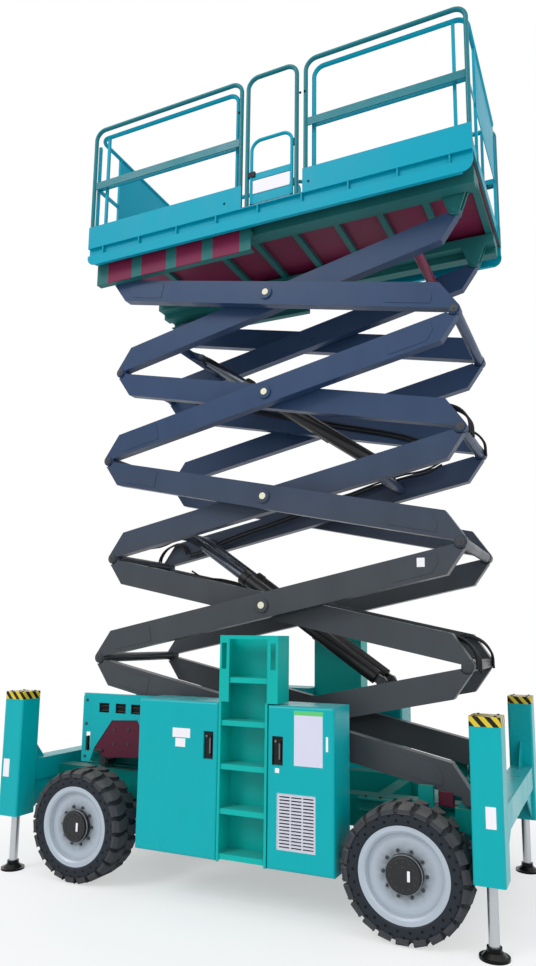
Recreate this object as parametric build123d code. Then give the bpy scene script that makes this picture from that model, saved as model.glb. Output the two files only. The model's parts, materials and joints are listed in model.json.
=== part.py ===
"""Rough-terrain scissor lift, partly raised, as separate named pieces in one frame.

Units are millimetres. X runs along the machine with the fixed scissor pivots at +X, Y runs across it
and Z is up. The origin is on the ground at the centre of the chassis.
"""
import math
import os

from build123d import *

os.makedirs("parts", exist_ok=True)

# ---- driving dimensions --------------------------------------------------------------------------
STAGES = 5              # crossed pairs in the stack
ARM_PITCH = 3640        # pin to pin along one arm
LIFT_ANGLE = 15.7       # rise of the pin line at rest, degrees
ARM_H = 225             # arm tube height
ARM_T = 100             # arm tube width
ARM_GAP = 10            # free height between stacked arms when fully lowered
OUTER_Y = 635           # mid-plane of the outer arms
INNER_Y = 498           # mid-plane of the inner arms
BASE_PIN_Z = 935        # height of the lowest pins
SCISSOR_X = 190         # scissor centre ahead of the chassis centre at rest

PIN_R = 30              # end pins
HUB_R = 35              # centre pins
FIT = 0.08              # running clearance of a pin in its bore
BOSS_R = 52             # round end of a fork or tongue
SLOT_R = 62             # full-width tube stays this far from an end pin
TAPER = 170             # length of the slanted arm end

RAIL_IN, RAIL_OUT = 440, 600        # chassis rails, inner and outer side
RAIL_Z0, RAIL_Z1 = 630, 875
HOUSING_BACK = 210      # outrigger centres lie this far outside the fixed base pins
HOUSING_Y = 1050
HOUSING_W, HOUSING_D = 220, 240
HOUSING_Z0, HOUSING_Z1 = 485, 1602
BEAM_BACK = 95          # inner face of a cross beam ahead of its outriggers
BEAM_Z0, BEAM_Z1 = 770, 965

WHEEL_R = 475
TYRE_W = 330
WHEEL_Y = 1000          # tyre mid-plane
RIM_R = 335             # visible rim edge
STEER_X = -1386
DRIVE_X = 1556
KINGPIN_Y = 790

CAB_Y0, CAB_Y1 = 790, 1140          # cabinet depth, doors lie outside it
CAB_Z0, CAB_Z1 = 380, 1605
CAB_LEFT = (-732, 46)
CAB_RIGHT = (487, 1044)
CAB_WALL = 15
DOOR_T = 28
DOOR_GAP = 4

PLAT_BACK = (253, 223)  # platform beyond its slide end and fixed end pins
PLAT_Y = 870
PLAT_DROP = 120         # platform frame above the top pins
DECK_Z = 206            # deck surface above the underside of the platform
SIDE_D = 38             # depth of the platform's pressed sides
TOE_Z = 435
RAIL_TOP_Z = 1590
MID_RAIL_Z = 920
LADDER_Z1 = 2147
TUBE_R = 21

# ---- derived sizes -------------------------------------------------------------------------------
STACK = ARM_H + ARM_GAP
DELTA = math.degrees(math.asin(STACK / ARM_PITCH))
TILT = LIFT_ANGLE - DELTA
STAGE_H = ARM_PITCH * math.sin(math.radians(LIFT_ANGLE))
SPAN = ARM_PITCH * math.cos(math.radians(LIFT_ANGLE))
HALF_L = ARM_PITCH * math.cos(math.radians(DELTA)) / 2
PIN_LEFT, PIN_RIGHT = SCISSOR_X - SPAN / 2, SCISSOR_X + SPAN / 2
TOP_PIN_Z = BASE_PIN_Z + STAGES * STAGE_H
PLAT_Z = TOP_PIN_Z + PLAT_DROP
PLAT_X0 = round(PIN_LEFT) - PLAT_BACK[0]
PLAT_X1 = round(PIN_RIGHT) + PLAT_BACK[1]
HOUSING_X = round(PIN_RIGHT) + HOUSING_BACK
BEAM_X = HOUSING_X - BEAM_BACK


# ---- helpers -------------------------------------------------------------------------------------
def block(x0, x1, y0, y1, z0, z1):
    """Box between two corners."""
    return Pos((x0 + x1) / 2, (y0 + y1) / 2, (z0 + z1) / 2) * Box(abs(x1 - x0), abs(y1 - y0), abs(z1 - z0))


def rod_x(x0, x1, y, z, r):
    return Pos((x0 + x1) / 2, y, z) * Rot(0, 90, 0) * Cylinder(r, abs(x1 - x0))


def rod_y(x, z, r, y0, y1):
    return Pos(x, (y0 + y1) / 2, z) * Rot(90, 0, 0) * Cylinder(r, abs(y1 - y0))


def rod_z(x, y, r, z0, z1):
    return Pos(x, y, (z0 + z1) / 2) * Cylinder(r, abs(z1 - z0))


def prism_y(points, y0, y1):
    """Plate of the (x, z) outline, from y0 to y1."""
    outline = Polyline(*[(x, y0, z) for x, z in points], close=True)
    return extrude(make_face(outline), amount=y1 - y0, dir=(0, 1, 0))


def prism_x(points, x0, x1):
    """Plate of the (y, z) outline, from x0 to x1."""
    outline = Polyline(*[(x0, y, z) for y, z in points], close=True)
    return extrude(make_face(outline), amount=x1 - x0, dir=(1, 0, 0))


def prism_z(points, z0, z1):
    """Plate of the (x, y) outline, from z0 to z1."""
    outline = Polyline(*[(x, y, z0) for x, y in points], close=True)
    return extrude(make_face(outline), amount=z1 - z0, dir=(0, 0, 1))


def fuse(items):
    items = list(items)
    return items[0].fuse(*items[1:]) if len(items) > 1 else items[0]


def both_sides(item):
    """The item and its mirror image across the machine's centre plane."""
    return [item, mirror(item, Plane.XZ)]


def tangent(point, centre, r, side):
    """Where a line from the point touches the circle; side picks one of the two."""
    dx, dz = point[0] - centre[0], point[1] - centre[1]
    dist = math.hypot(dx, dz)
    turn = math.atan2(dz, dx) + side * math.acos(r / dist)
    return centre[0] + r * math.cos(turn), centre[1] + r * math.sin(turn)


def bent_tube(points, bend, r=TUBE_R):
    """Round tube along the points with rounded corners."""
    path = FilletPolyline(*points, radius=bend)
    start = path @ 0
    section = Plane(origin=start, z_dir=path % 0) * Circle(r)
    return sweep(section, path=path)


def save(name, shape):
    if isinstance(shape, (list, tuple)):
        shape = Compound(children=list(shape))
    export_step(shape, f"parts/{name}.step")


# ---- scissor frames ------------------------------------------------------------------------------
def arm(mid_y, low_end, high_end, hub_bore, high_bore=True):
    """One arm lying level, its low end at -X. The pins sit on its lower left and upper right edges."""
    half_h, half_t, pin_v = ARM_H / 2, ARM_T / 2, STACK / 2
    low_pin, high_pin = (-HALF_L, -pin_v), (HALF_L, pin_v)
    low_top = (-HALF_L + TAPER, half_h)
    high_low = (HALF_L - TAPER, -half_h)
    outline = [
        (-HALF_L, -half_h), tangent(low_top, low_pin, BOSS_R, 1), low_top,
        (HALF_L, half_h), tangent(high_low, high_pin, BOSS_R, 1), high_low,
    ]
    body = prism_y(outline, mid_y - half_t, mid_y + half_t)
    body -= rod_y(*low_pin, SLOT_R, mid_y - half_t - 1, mid_y + half_t + 1)
    body -= rod_y(*high_pin, SLOT_R, mid_y - half_t - 1, mid_y + half_t + 1)
    pieces = [body]
    reach = 2 * TAPER
    low_part = [(x, z) for x, z in outline[:3]] + [(-HALF_L + reach, half_h), (-HALF_L + reach, -half_h)]
    high_part = [(x, z) for x, z in outline[3:]] + [(HALF_L - reach, -half_h), (HALF_L - reach, half_h)]
    ends = {"fork": ((-half_t, -half_t / 2), (half_t / 2, half_t)), "tongue": ((-20, 20),)}
    for part, pin, end in ((low_part, low_pin, low_end), (high_part, high_pin, high_end)):
        for y0, y1 in ends[end]:
            plate = prism_y(part, mid_y + y0, mid_y + y1) + rod_y(*pin, BOSS_R, mid_y + y0, mid_y + y1)
            pieces.append(plate)
        if end == "fork":
            pieces.append(rod_y(*pin, PIN_R, mid_y - half_t - 12, mid_y + half_t + 12))
            pieces.append(rod_y(*pin, PIN_R + 12, mid_y - half_t - 12, mid_y - half_t))
            pieces.append(rod_y(*pin, PIN_R + 12, mid_y + half_t, mid_y + half_t + 12))
    result = fuse(pieces)
    if high_end == "tongue" and high_bore:
        result -= rod_y(*high_pin, PIN_R + FIT, mid_y - 21, mid_y + 21)
    if hub_bore:
        result -= rod_y(0, 0, HUB_R + FIT, mid_y - half_t - 1, mid_y + half_t + 1)
    return result


DOUBLER = (620, 210, 75, 4)     # start and end from the arm's end, half height, thickness


def doublers():
    """Thin stiffening plates on the outer face of a near outer arm, close to both of its ends."""
    start, end, half, thick = DOUBLER
    face = -OUTER_Y - ARM_T / 2
    shape = [(start, -half), (start, half), (end + half, half), (end, 0), (end, -half)]
    return [prism_y([(sign * (u - HALF_L), sign * v) for u, v in shape], face - thick, face + 5)
            for sign in (1, -1)]


def cross_tube(u, v, r, reach):
    return rod_y(u, v, r, -reach, reach)


BARREL_U, BARREL_V = 0.27 * 2 * HALF_L, 130     # barrel pivot on an inner frame
ROD_U, ROD_V = -0.284 * 2 * HALF_L, -100        # rod pin on the inner frame two stages up
TWIN_Y = 150                                    # the twin cylinders stand this far off centre
LUG_T = 36


def barrel_lugs():
    pieces = [cross_tube(BARREL_U, 0, 50, INNER_Y - ARM_T / 2)]
    for y in (-TWIN_Y, TWIN_Y):
        for y0, y1 in ((-50, -32), (32, 50)):
            outline = [(BARREL_U - 50, 0), (BARREL_U - 38, BARREL_V),
                       (BARREL_U + 38, BARREL_V), (BARREL_U + 50, 0)]
            pieces.append(prism_y(outline, y + y0, y + y1) + rod_y(BARREL_U, BARREL_V, 38, y + y0, y + y1))
        pieces.append(rod_y(BARREL_U, BARREL_V, 25, y - 50, y + 50))
    return pieces


def rod_lugs():
    tube_u = ROD_U - 140
    pieces = [cross_tube(tube_u, 0, 45, INNER_Y - ARM_T / 2)]
    for y in (-TWIN_Y, TWIN_Y):
        outline = [(tube_u - 40, -10), (tube_u + 10, 40), (ROD_U + 30, ROD_V + 26), (ROD_U - 20, ROD_V - 34)]
        pieces.append(prism_y(outline, y - LUG_T / 2, y + LUG_T / 2)
                      + rod_y(ROD_U, ROD_V, 40, y - LUG_T / 2, y + LUG_T / 2))
    return pieces


def outer_frame(stage):
    """Outer arms with their centre pins, a cross shaft at the low pins and rollers on the last one."""
    near = arm(-OUTER_Y, "fork", "tongue", False, stage < STAGES - 1)
    inner_face, half_t = OUTER_Y - ARM_T / 2, ARM_T / 2
    near += rod_y(0, 0, 60, -inner_face, -inner_face + 32)
    near += rod_y(0, 0, HUB_R, -OUTER_Y, -(INNER_Y - half_t) + 10)
    near += rod_y(0, 0, 62, -OUTER_Y - half_t - 16, -OUTER_Y - half_t)
    near = fuse([near] + doublers())
    if stage == STAGES - 1:
        near += rod_y(HALF_L, STACK / 2, PIN_R, -OUTER_Y - half_t - 56, -OUTER_Y - 10)
        near += rod_y(HALF_L, STACK / 2, 45, -OUTER_Y - half_t - 56, -OUTER_Y - half_t - 8)
    pieces = both_sides(near) + [cross_tube(-HALF_L, -STACK / 2, 45, inner_face)]
    return fuse(pieces)


def inner_frame(stage):
    """Inner arms joined by cross tubes; some carry the pivots of the lift cylinders."""
    near = arm(-INNER_Y, "fork", "tongue", True)
    inner_face = INNER_Y - ARM_T / 2
    pieces = []
    if stage == 0:
        near += rod_y(-HALF_L, -STACK / 2, 40, -inner_face + 8, -inner_face + 56)
        near += rod_y(-HALF_L, -STACK / 2, PIN_R, -inner_face - 5, -inner_face + 56)
        pieces.append(cross_tube(-HALF_L + 420, 0, 45, inner_face))
    else:
        pieces.append(cross_tube(-HALF_L, -STACK / 2, 45, inner_face))
    if stage in (0, 2):
        pieces += barrel_lugs()
    if stage in (2, 4):
        pieces += rod_lugs()
    if stage == 4:
        pieces.append(cross_tube(HALF_L - 420, 0, 45, inner_face))
    return fuse(both_sides(near) + pieces)


def place_frame(shape, stage, rises_to):
    """Tilt a level frame and lift it to its stage. One that rises to the left is mirrored."""
    centre = Pos(SCISSOR_X, 0, BASE_PIN_Z + (stage + 0.5) * STAGE_H)
    if rises_to == "left":
        return centre * Rot(0, TILT, 0) * mirror(shape, Plane.YZ)
    return centre * Rot(0, -TILT, 0) * shape


for stage in range(STAGES):
    outer_rises = "left" if stage % 2 == 0 else "right"
    inner_rises = "right" if stage % 2 == 0 else "left"
    save(f"outer_frame_{stage + 1}", place_frame(outer_frame(stage), stage, outer_rises))
    save(f"inner_frame_{stage + 1}", place_frame(inner_frame(stage), stage, inner_rises))


# ---- lift cylinders ------------------------------------------------------------------------------
def arm_point(stage, u, v):
    """World (x, z) of a point on a frame that rises to the right."""
    c, s = math.cos(math.radians(TILT)), math.sin(math.radians(TILT))
    return SCISSOR_X + u * c - v * s, BASE_PIN_Z + (stage + 0.5) * STAGE_H + u * s + v * c


BARREL_LEN = 1700
BARREL_R = 65
ROD_R = 45
ROD_LEN = 1715
FORK_BACK = 78          # solid rod ends this far before its pin

for level, stage in (("lower", 0), ("upper", 2)):
    foot = arm_point(stage, BARREL_U, BARREL_V)
    head = arm_point(stage + 2, ROD_U, ROD_V)
    length = math.dist(foot, head)
    turn = math.degrees(math.atan2(-(head[1] - foot[1]), head[0] - foot[0]))
    place = Pos(foot[0], 0, foot[1]) * Rot(0, turn, 0)
    barrels, rods = [], []
    for y in (-TWIN_Y, TWIN_Y):
        barrel = rod_x(60, BARREL_LEN, y, 0, BARREL_R) + block(0, 80, y - 28, y + 28, -38, 38)
        barrel += rod_y(0, 0, 45, y - 28, y + 28)
        barrel += rod_x(BARREL_LEN - 70, BARREL_LEN, y, 0, BARREL_R + 8)
        barrel -= rod_x(110, BARREL_LEN + 1, y, 0, ROD_R + FIT)
        barrel -= rod_y(0, 0, 25 + FIT, y - 30, y + 30)
        barrels.append(barrel)
        rod = rod_x(length - ROD_LEN, length - FORK_BACK, y, 0, ROD_R)
        rod += block(length - 100, length - 60, y - 40, y + 40, -40, 40)
        for y0, y1 in ((-40, -24), (24, 40)):
            rod += block(length - 100, length, y + y0, y + y1, -36, 36)
            rod += rod_y(length, 0, 38, y + y0, y + y1)
        rods.append(rod)
    join = block(700, 760, -TWIN_Y, TWIN_Y, BARREL_R - 12, BARREL_R + 8)
    save(f"lift_barrels_{level}", place * fuse(barrels + [join]))
    save(f"lift_rods_{level}", [place * rod for rod in rods])


# ---- chassis -------------------------------------------------------------------------------------
def base_lug(x):
    """Upright plate that carries a base pin of the outer frame."""
    outline = [(x - 95, RAIL_Z1 - 20), (x - BOSS_R, BASE_PIN_Z),
               (x + BOSS_R, BASE_PIN_Z), (x + 95, RAIL_Z1 - 20)]
    plate = prism_y(outline, -OUTER_Y - 20, -OUTER_Y + 20)
    plate += rod_y(x, BASE_PIN_Z, BOSS_R, -OUTER_Y - 20, -OUTER_Y + 20)
    return plate - rod_y(x, BASE_PIN_Z, PIN_R + FIT, -OUTER_Y - 21, -OUTER_Y + 21)


def chassis_frame():
    mount_z = WHEEL_R + 65
    slide_x = round(PIN_LEFT) - 268
    side = [
        block(-BEAM_X, BEAM_X, -RAIL_OUT, -RAIL_IN, RAIL_Z0, RAIL_Z1),
        block(BEAM_X - 217, BEAM_X, -690, -RAIL_OUT + 5, RAIL_Z0 + 60, RAIL_Z1 - 5),
        # outer flanges of the rail over the drive axle, with the guide block on top
        block(DRIVE_X - 496, BEAM_X - 217, -660, -RAIL_OUT + 5, RAIL_Z1 - 20, RAIL_Z1 - 5),
        block(DRIVE_X - 496, BEAM_X - 217, -640, -RAIL_OUT + 5, RAIL_Z1 - 110, RAIL_Z1 - 95),
        block(1570, 1700, -745, -RAIL_OUT + 5, RAIL_Z1 - 20, RAIL_Z1 - 5),
        block(1575, 1690, -745, -700, RAIL_Z1 - 8, RAIL_Z1 + 150),
        base_lug(PIN_RIGHT),
        # slide channel of the lowest inner frame, open towards its arms
        block(slide_x, -60, -445, -372, BASE_PIN_Z - 63, BASE_PIN_Z - 45),
        block(slide_x, -60, -386, -372, RAIL_Z0, BASE_PIN_Z + 63),
        block(slide_x, -60, -440, -372, BASE_PIN_Z + 45, BASE_PIN_Z + 63),
        # bracket of the side guard and the lower side plate behind the steered wheel
        block(-812, -752, -742, -RAIL_OUT + 5, 690, RAIL_Z1 - 10),
        block(-812, -752, -742, -700, 690, 1180),
        # cabinet brackets
        block(-560, -480, -CAB_Y0, -RAIL_OUT + 5, 670, 750),
        block(820, 900, -CAB_Y0, -RAIL_OUT + 5, 670, 750),
    ]
    middle = [block(x - 60, x + 60, -RAIL_IN - 5, RAIL_IN + 5, RAIL_Z0 + 20, RAIL_Z1 - 45)
              for x in (77 - BEAM_X, STEER_X, -500, 300, DRIVE_X - 400, DRIVE_X, BEAM_X - 77)]
    middle.append(block(157 - BEAM_X, BEAM_X - 157, -RAIL_IN - 5, RAIL_IN + 5, RAIL_Z0, RAIL_Z0 + 25))
    for x in (STEER_X, DRIVE_X):
        outline = [(-240, mount_z), (-320, RAIL_Z0 + 5), (320, RAIL_Z0 + 5), (240, mount_z)]
        middle.append(prism_x(outline, x - 110, x + 110))
    return fuse([piece for item in side for piece in both_sides(item)] + middle)


save("chassis_frame", chassis_frame())


def side_guard():
    """Plate outside the arms at the slide end, with three windows and an arched cut-out."""
    outline = [(-1670, 950), (-1670, 1585), (-760, 1585), (-760, 950), (-900, 950), (-900, 1120),
               (-1040, 1360), (-1330, 1345), (-1520, 1085), (-1570, 950)]
    plate = prism_y(outline, -750, -742)
    plate = fillet(plate.edges().filter_by(Axis.Y).group_by(Axis.Z)[-1].sort_by(Axis.X)[0], 40)
    plate += block(-1670, -760, -750, -700, 1577, 1585)
    for x in (-1425, -1235, -1060):
        plate -= block(x - 58, x + 58, -751, -741, 1412, 1500)
    plate -= block(-1625, -1575, -751, -741, 1050, 1225)
    return plate


save("side_guards", both_sides(side_guard()))


def slide_guide():
    """Thick plate behind the arched cut-out of a side guard, with its lower fold."""
    outline = [(-1545, 1075), (-1345, 1372), (-1025, 1385), (-880, 1130), (-880, 1035), (-1400, 1005)]
    return prism_y(outline, -742, -730) + block(-1400, -880, -742, -712, 1029, 1041)


save("slide_guides", both_sides(slide_guide()))


# ---- outriggers ----------------------------------------------------------------------------------
def housing():
    """Upright box with a round well for the leg, its cap and gussets, at the near +X corner."""
    x0, x1 = HOUSING_X - HOUSING_W / 2, HOUSING_X + HOUSING_W / 2
    y0, y1 = -HOUSING_Y - HOUSING_D / 2, -HOUSING_Y + HOUSING_D / 2
    box = fillet(block(x0, x1, y0, y1, HOUSING_Z0, HOUSING_Z1).edges().filter_by(Axis.Z), 20)
    box -= rod_z(HOUSING_X, -HOUSING_Y, 50, HOUSING_Z0 - 1, HOUSING_Z1 - 30)
    box += prism_x([(y1 - 5, BEAM_Z1 - 5), (y1 - 5, BEAM_Z1 + 240), (y1 + 210, BEAM_Z1 - 5)],
                   HOUSING_X - 6, HOUSING_X + 6)
    for x in (HOUSING_X - 70, HOUSING_X + 70):
        outline = [(y1 - 5, BEAM_Z0 + 5), (y1 - 5, HOUSING_Z0 + 20), (y1 + 420, BEAM_Z0 + 5)]
        box += prism_x(outline, x - 6, x + 6)
    return box


BEAM_END = (BEAM_X, BEAM_X + 190)
beams = []
for sign in (1, -1):
    near = housing() if sign > 0 else mirror(housing(), Plane.YZ)
    x0, x1 = sorted((sign * BEAM_END[0], sign * BEAM_END[1]))
    beam = block(x0, x1, -HOUSING_Y + HOUSING_D / 2 - 5, HOUSING_Y - HOUSING_D / 2 + 5, BEAM_Z0, BEAM_Z1)
    beams.append(fuse(both_sides(near) + [beam]))
save("outrigger_housings", beams)


def leg(sx, sy):
    """Chromed rod with a tiered round foot."""
    x, y = sx * HOUSING_X, sy * HOUSING_Y
    foot = rod_z(x, y, 105, 0, 18) + Pos(x, y, 32) * Cone(88, 58, 28) + rod_z(x, y, 52, 46, 78)
    return foot + rod_z(x, y, 38, 78, 1120)


CORNERS = (("left_near", -1, -1), ("left_far", -1, 1), ("right_near", 1, -1), ("right_far", 1, 1))
for corner, sx, sy in CORNERS:
    save(f"outrigger_leg_{corner}", leg(sx, sy))


# ---- axles and wheels ----------------------------------------------------------------------------
def drive_axle():
    near = [
        block(DRIVE_X - 80, DRIVE_X + 80, -780, 5, WHEEL_R - 80, WHEEL_R + 65),
        rod_y(DRIVE_X, WHEEL_R, 110, -820, -700),
        rod_y(DRIVE_X, WHEEL_R, 45, -1060, -800),
    ]
    return fuse([piece for item in near for piece in both_sides(item)])


def steer_axle():
    near = [
        block(STEER_X - 70, STEER_X + 70, -690, 5, WHEEL_R - 70, WHEEL_R + 65),
        block(STEER_X - 60, STEER_X + 60, -KINGPIN_Y, -640, WHEEL_R + 100, WHEEL_R + 130),
        block(STEER_X - 60, STEER_X + 60, -KINGPIN_Y, -640, WHEEL_R - 130, WHEEL_R - 100),
        block(STEER_X - 60, STEER_X + 60, -690, -640, WHEEL_R - 130, WHEEL_R + 130),
        rod_z(STEER_X, -KINGPIN_Y, 60, WHEEL_R + 100, WHEEL_R + 130),
        rod_z(STEER_X, -KINGPIN_Y, 60, WHEEL_R - 130, WHEEL_R - 100),
        rod_z(STEER_X, -KINGPIN_Y, 28, WHEEL_R - 140, WHEEL_R + 140),
        block(STEER_X - 100, STEER_X + 100, -240, 5, WHEEL_R + 50, WHEEL_R + 65),
    ]
    return fuse([piece for item in near for piece in both_sides(item)])


drive = drive_axle() + block(DRIVE_X - 100, DRIVE_X + 100, -240, 240, WHEEL_R + 50, WHEEL_R + 65)
save("axles", [drive, steer_axle()])


def knuckle():
    """Near steering knuckle with its spindle and steering arm."""
    body = rod_z(STEER_X, -KINGPIN_Y, 55, WHEEL_R - 95, WHEEL_R + 95)
    body += rod_y(STEER_X, WHEEL_R, 45, -1060, -KINGPIN_Y)
    body += rod_y(STEER_X, WHEEL_R, 70, -860, -KINGPIN_Y - 30)
    body += block(STEER_X + 20, STEER_X + 190, -KINGPIN_Y - 25, -KINGPIN_Y + 25, WHEEL_R - 60, WHEEL_R - 30)
    return body - rod_z(STEER_X, -KINGPIN_Y, 28 + FIT, WHEEL_R - 96, WHEEL_R + 96)


save("knuckle_near", knuckle())
save("knuckle_far", mirror(knuckle(), Plane.XZ))

TIE_X, TIE_Z = STEER_X + 170, WHEEL_R - 84
tie = rod_y(TIE_X, TIE_Z, 15, -KINGPIN_Y, KINGPIN_Y)
for y in (-KINGPIN_Y, KINGPIN_Y):
    tie += rod_z(TIE_X, y, 32, TIE_Z - 18, TIE_Z + 18)
save("tie_rod", tie)

CARCASS_R = WHEEL_R - 26
SHOULDER = 30           # width of the slope at a lug's outer end
LUGS = 22               # on each shoulder
LUG_FILL = 0.62         # share of the pitch that a lug takes
LUG_RISE = 0.04         # share of the pitch in each sloping flank
PITCH_TURN = 360 / LUGS
ROLL = 90 + LUG_RISE * PITCH_TURN       # puts a lug's corner on the ground


def revolve_y(profile):
    """Solid of revolution about Y from (y, radius) points."""
    face = make_face(Polyline(*[(r, y, 0) for y, r in profile], close=True))
    return revolve(face, Axis.Y)


def lug_ring(y, top, root, turn):
    """Toothed outline of one half of the tyre across the axle, as a closed wire at y."""
    points = []
    for i in range(LUGS):
        for share, r in ((0, root), (LUG_RISE, top), (LUG_FILL - LUG_RISE, top), (LUG_FILL, root)):
            angle = math.radians(turn + (i + share) * PITCH_TURN)
            points.append((r * math.cos(angle), y, r * math.sin(angle)))
    return Polyline(*points, close=True)


def tyre():
    """Near tyre at the origin: each half carries a ring of blocks, the two rings half a pitch apart."""
    half = TYRE_W / 2
    halves = []
    for y, turn in ((-1, 0), (1, PITCH_TURN / 2)):
        face = make_face(lug_ring(0, WHEEL_R, CARCASS_R, turn))
        halves.append(extrude(face, amount=half - SHOULDER, dir=(0, y, 0)))
        inner = make_face(lug_ring(y * (half - SHOULDER), WHEEL_R, CARCASS_R, turn))
        outer = make_face(lug_ring(y * half, CARCASS_R - 4, CARCASS_R - 30, turn))
        halves.append(loft([inner, outer], ruled=True))
    bore = extrude(Plane.XZ * RegularPolygon(RIM_R, 2 * LUGS, major_radius=False), TYRE_W, both=True)
    return fuse(halves) - bore


def rim():
    """Near rim at the origin: dished disc well inside the barrel, drum hub on its outer side."""
    half = TYRE_W / 2
    shape = revolve_y([
        (-half + 10, RIM_R - 34), (-half + 10, RIM_R), (half - 10, RIM_R), (half - 10, RIM_R - 18),
        (-half + 84, RIM_R - 18), (-half + 84, 50), (-half + 62, 50), (-half + 62, RIM_R - 62),
        (-half + 22, RIM_R - 50),
    ])
    hub = rod_y(0, 0, 137, -half + 22, -half + 110) + rod_y(0, 0, 120, -half + 8, -half + 40)
    shape = shape + hub + rod_y(0, 0, 80, -half + 80, half - 30)
    return shape - rod_y(0, 0, 45 + FIT, -half + 100, half)


TYRE, RIM = tyre(), rim()
for corner, sx, sy in CORNERS:
    x = STEER_X if sx < 0 else DRIVE_X
    for name, shape in (("tyre", TYRE), ("rim", RIM)):
        if sy > 0:
            shape = mirror(shape, Plane.XZ)
        save(f"{name}_{corner}", Pos(x, sy * WHEEL_Y, WHEEL_R) * Rot(0, ROLL, 0) * shape)


# ---- cabinets, doors and ladders -----------------------------------------------------------------
def cabinet(x0, x1):
    """Near cabinet shell, open at the front where its door closes it."""
    shell = block(x0, x1, -CAB_Y1, -CAB_Y0, CAB_Z0, CAB_Z1)
    shell = fillet(shell.edges().filter_by(Axis.Z).sort_by(Axis.Y)[-2:], 25)
    return shell - block(x0 + CAB_WALL, x1 - CAB_WALL, -CAB_Y1 - 1, -CAB_Y0 - CAB_WALL, CAB_Z0 + CAB_WALL,
                         CAB_Z1 - CAB_WALL)


LATCH_Z = 1258
LATCH_BACK = 90         # latch pocket's middle from the door's free edge
LOUVRE = (577, 893, 535, 945)       # x and z limits of the louvred panel


def door(x0, x1, latch_x, louvred=False):
    """Near door with rounded edges and a latch pocket, the full size of the cabinet front."""
    y1 = -CAB_Y1 - DOOR_GAP
    y0 = y1 - DOOR_T
    panel = block(x0, x1, y0, y1, CAB_Z0, CAB_Z1)
    panel = fillet(panel.faces().sort_by(Axis.Y)[0].edges(), 24)
    panel -= block(latch_x - 45, latch_x + 45, y0 - 1, y0 + 18, LATCH_Z - 108, LATCH_Z + 108)
    panel += block(latch_x + 2, latch_x + 24, y0 + 4, y0 + 19, LATCH_Z - 84, LATCH_Z + 76)
    if louvred:
        lx0, lx1, lz0, lz1 = LOUVRE
        panel -= block(lx0, lx1, y0 - 1, y0 + 6, lz0, lz1)
        slot_w, pitch = (lx1 - lx0 - 50) / 3, (lz1 - lz0 - 20) / 16
        for column in range(3):
            x = lx0 + 15 + column * (slot_w + 10)
            for row in range(16):
                z = lz0 + 14 + row * pitch
                panel -= block(x, x + slot_w, y0, y1 + 1, z, z + pitch * 0.45)
    return panel


shells = []
for x0, x1 in (CAB_LEFT, CAB_RIGHT):
    shells += both_sides(cabinet(x0, x1))
save("cabinets", shells)
for side, (x0, x1) in (("left", CAB_LEFT), ("right", CAB_RIGHT)):
    latch_x = x1 - LATCH_BACK if side == "left" else x0 + LATCH_BACK
    save(f"door_{side}_near", door(x0, x1, latch_x, side == "right"))
    save(f"door_{side}_far", mirror(door(x0, x1, latch_x), Plane.XZ))

save("engine", block(560, 960, 830, 1100, CAB_Z0 + CAB_WALL, 1100))
save("tanks", [block(-660, -40, -1090, -820, CAB_Z0 + CAB_WALL, 1000),
               block(560, 960, -1090, -830, CAB_Z0 + CAB_WALL, 900),
               block(-660, -40, 830, 1090, CAB_Z0 + CAB_WALL, 1000)])

STEP_Z = [429 + 342 * i for i in range(5)]
STILE_W = 88


def ladder():
    """Near ladder between the cabinets: channel stiles with hand slots, back plate, shelf steps, top bar."""
    x0, x1 = CAB_LEFT[1] + 2, CAB_RIGHT[0] - 2
    wide = x1 + STILE_W
    shelf = CAB_Z1 + 8
    pieces = [
        block(x0, x0 + 6, -1166, -950, CAB_Z0, LADDER_Z1),
        block(x0, x0 + STILE_W, -1172, -1166, shelf, LADDER_Z1),
        block(x1 - 6, x1, -1166, -950, CAB_Z0, shelf + 6),
        block(x1 - 6, wide, -1166, -950, shelf, shelf + 6),
        block(wide - 6, wide, -1166, -950, shelf, LADDER_Z1),
        block(x1 - 6, wide, -1172, -1166, shelf, LADDER_Z1),
        block(x0, x1, -956, -950, CAB_Z0, shelf),
        block(x0, wide, -956, -950, shelf - 1, LADDER_Z1),
        block(x0, wide, -1172, -1060, LADDER_Z1 - 30, LADDER_Z1),
        block(x0, x0 + 20, -1172, -1160, CAB_Z0, shelf),
        block(x1 - 20, x1, -1172, -1160, CAB_Z0, shelf),
    ]
    for z in STEP_Z:
        right = wide if z > shelf else x1
        pieces.append(block(x0, right, -1160, -952, z, z + 10))
        pieces.append(block(x0, right, -1160, -1150, z - 32, z + 10))
    shape = fuse(pieces)
    for x in (x0 + 18, wide - STILE_W + 24):
        shape -= block(x, x + 44, -1173, -1165, 1875, 2085)
    return shape


save("ladders", both_sides(ladder()))


# ---- platform ------------------------------------------------------------------------------------
Z = PLAT_Z
LEFT_END, RIGHT_START = 0, 636      # side sections either side of the entry
FLOOR_Z = PLAT_Z + DECK_Z
ENTRY_X0, ENTRY_X1 = 30, 587


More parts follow.
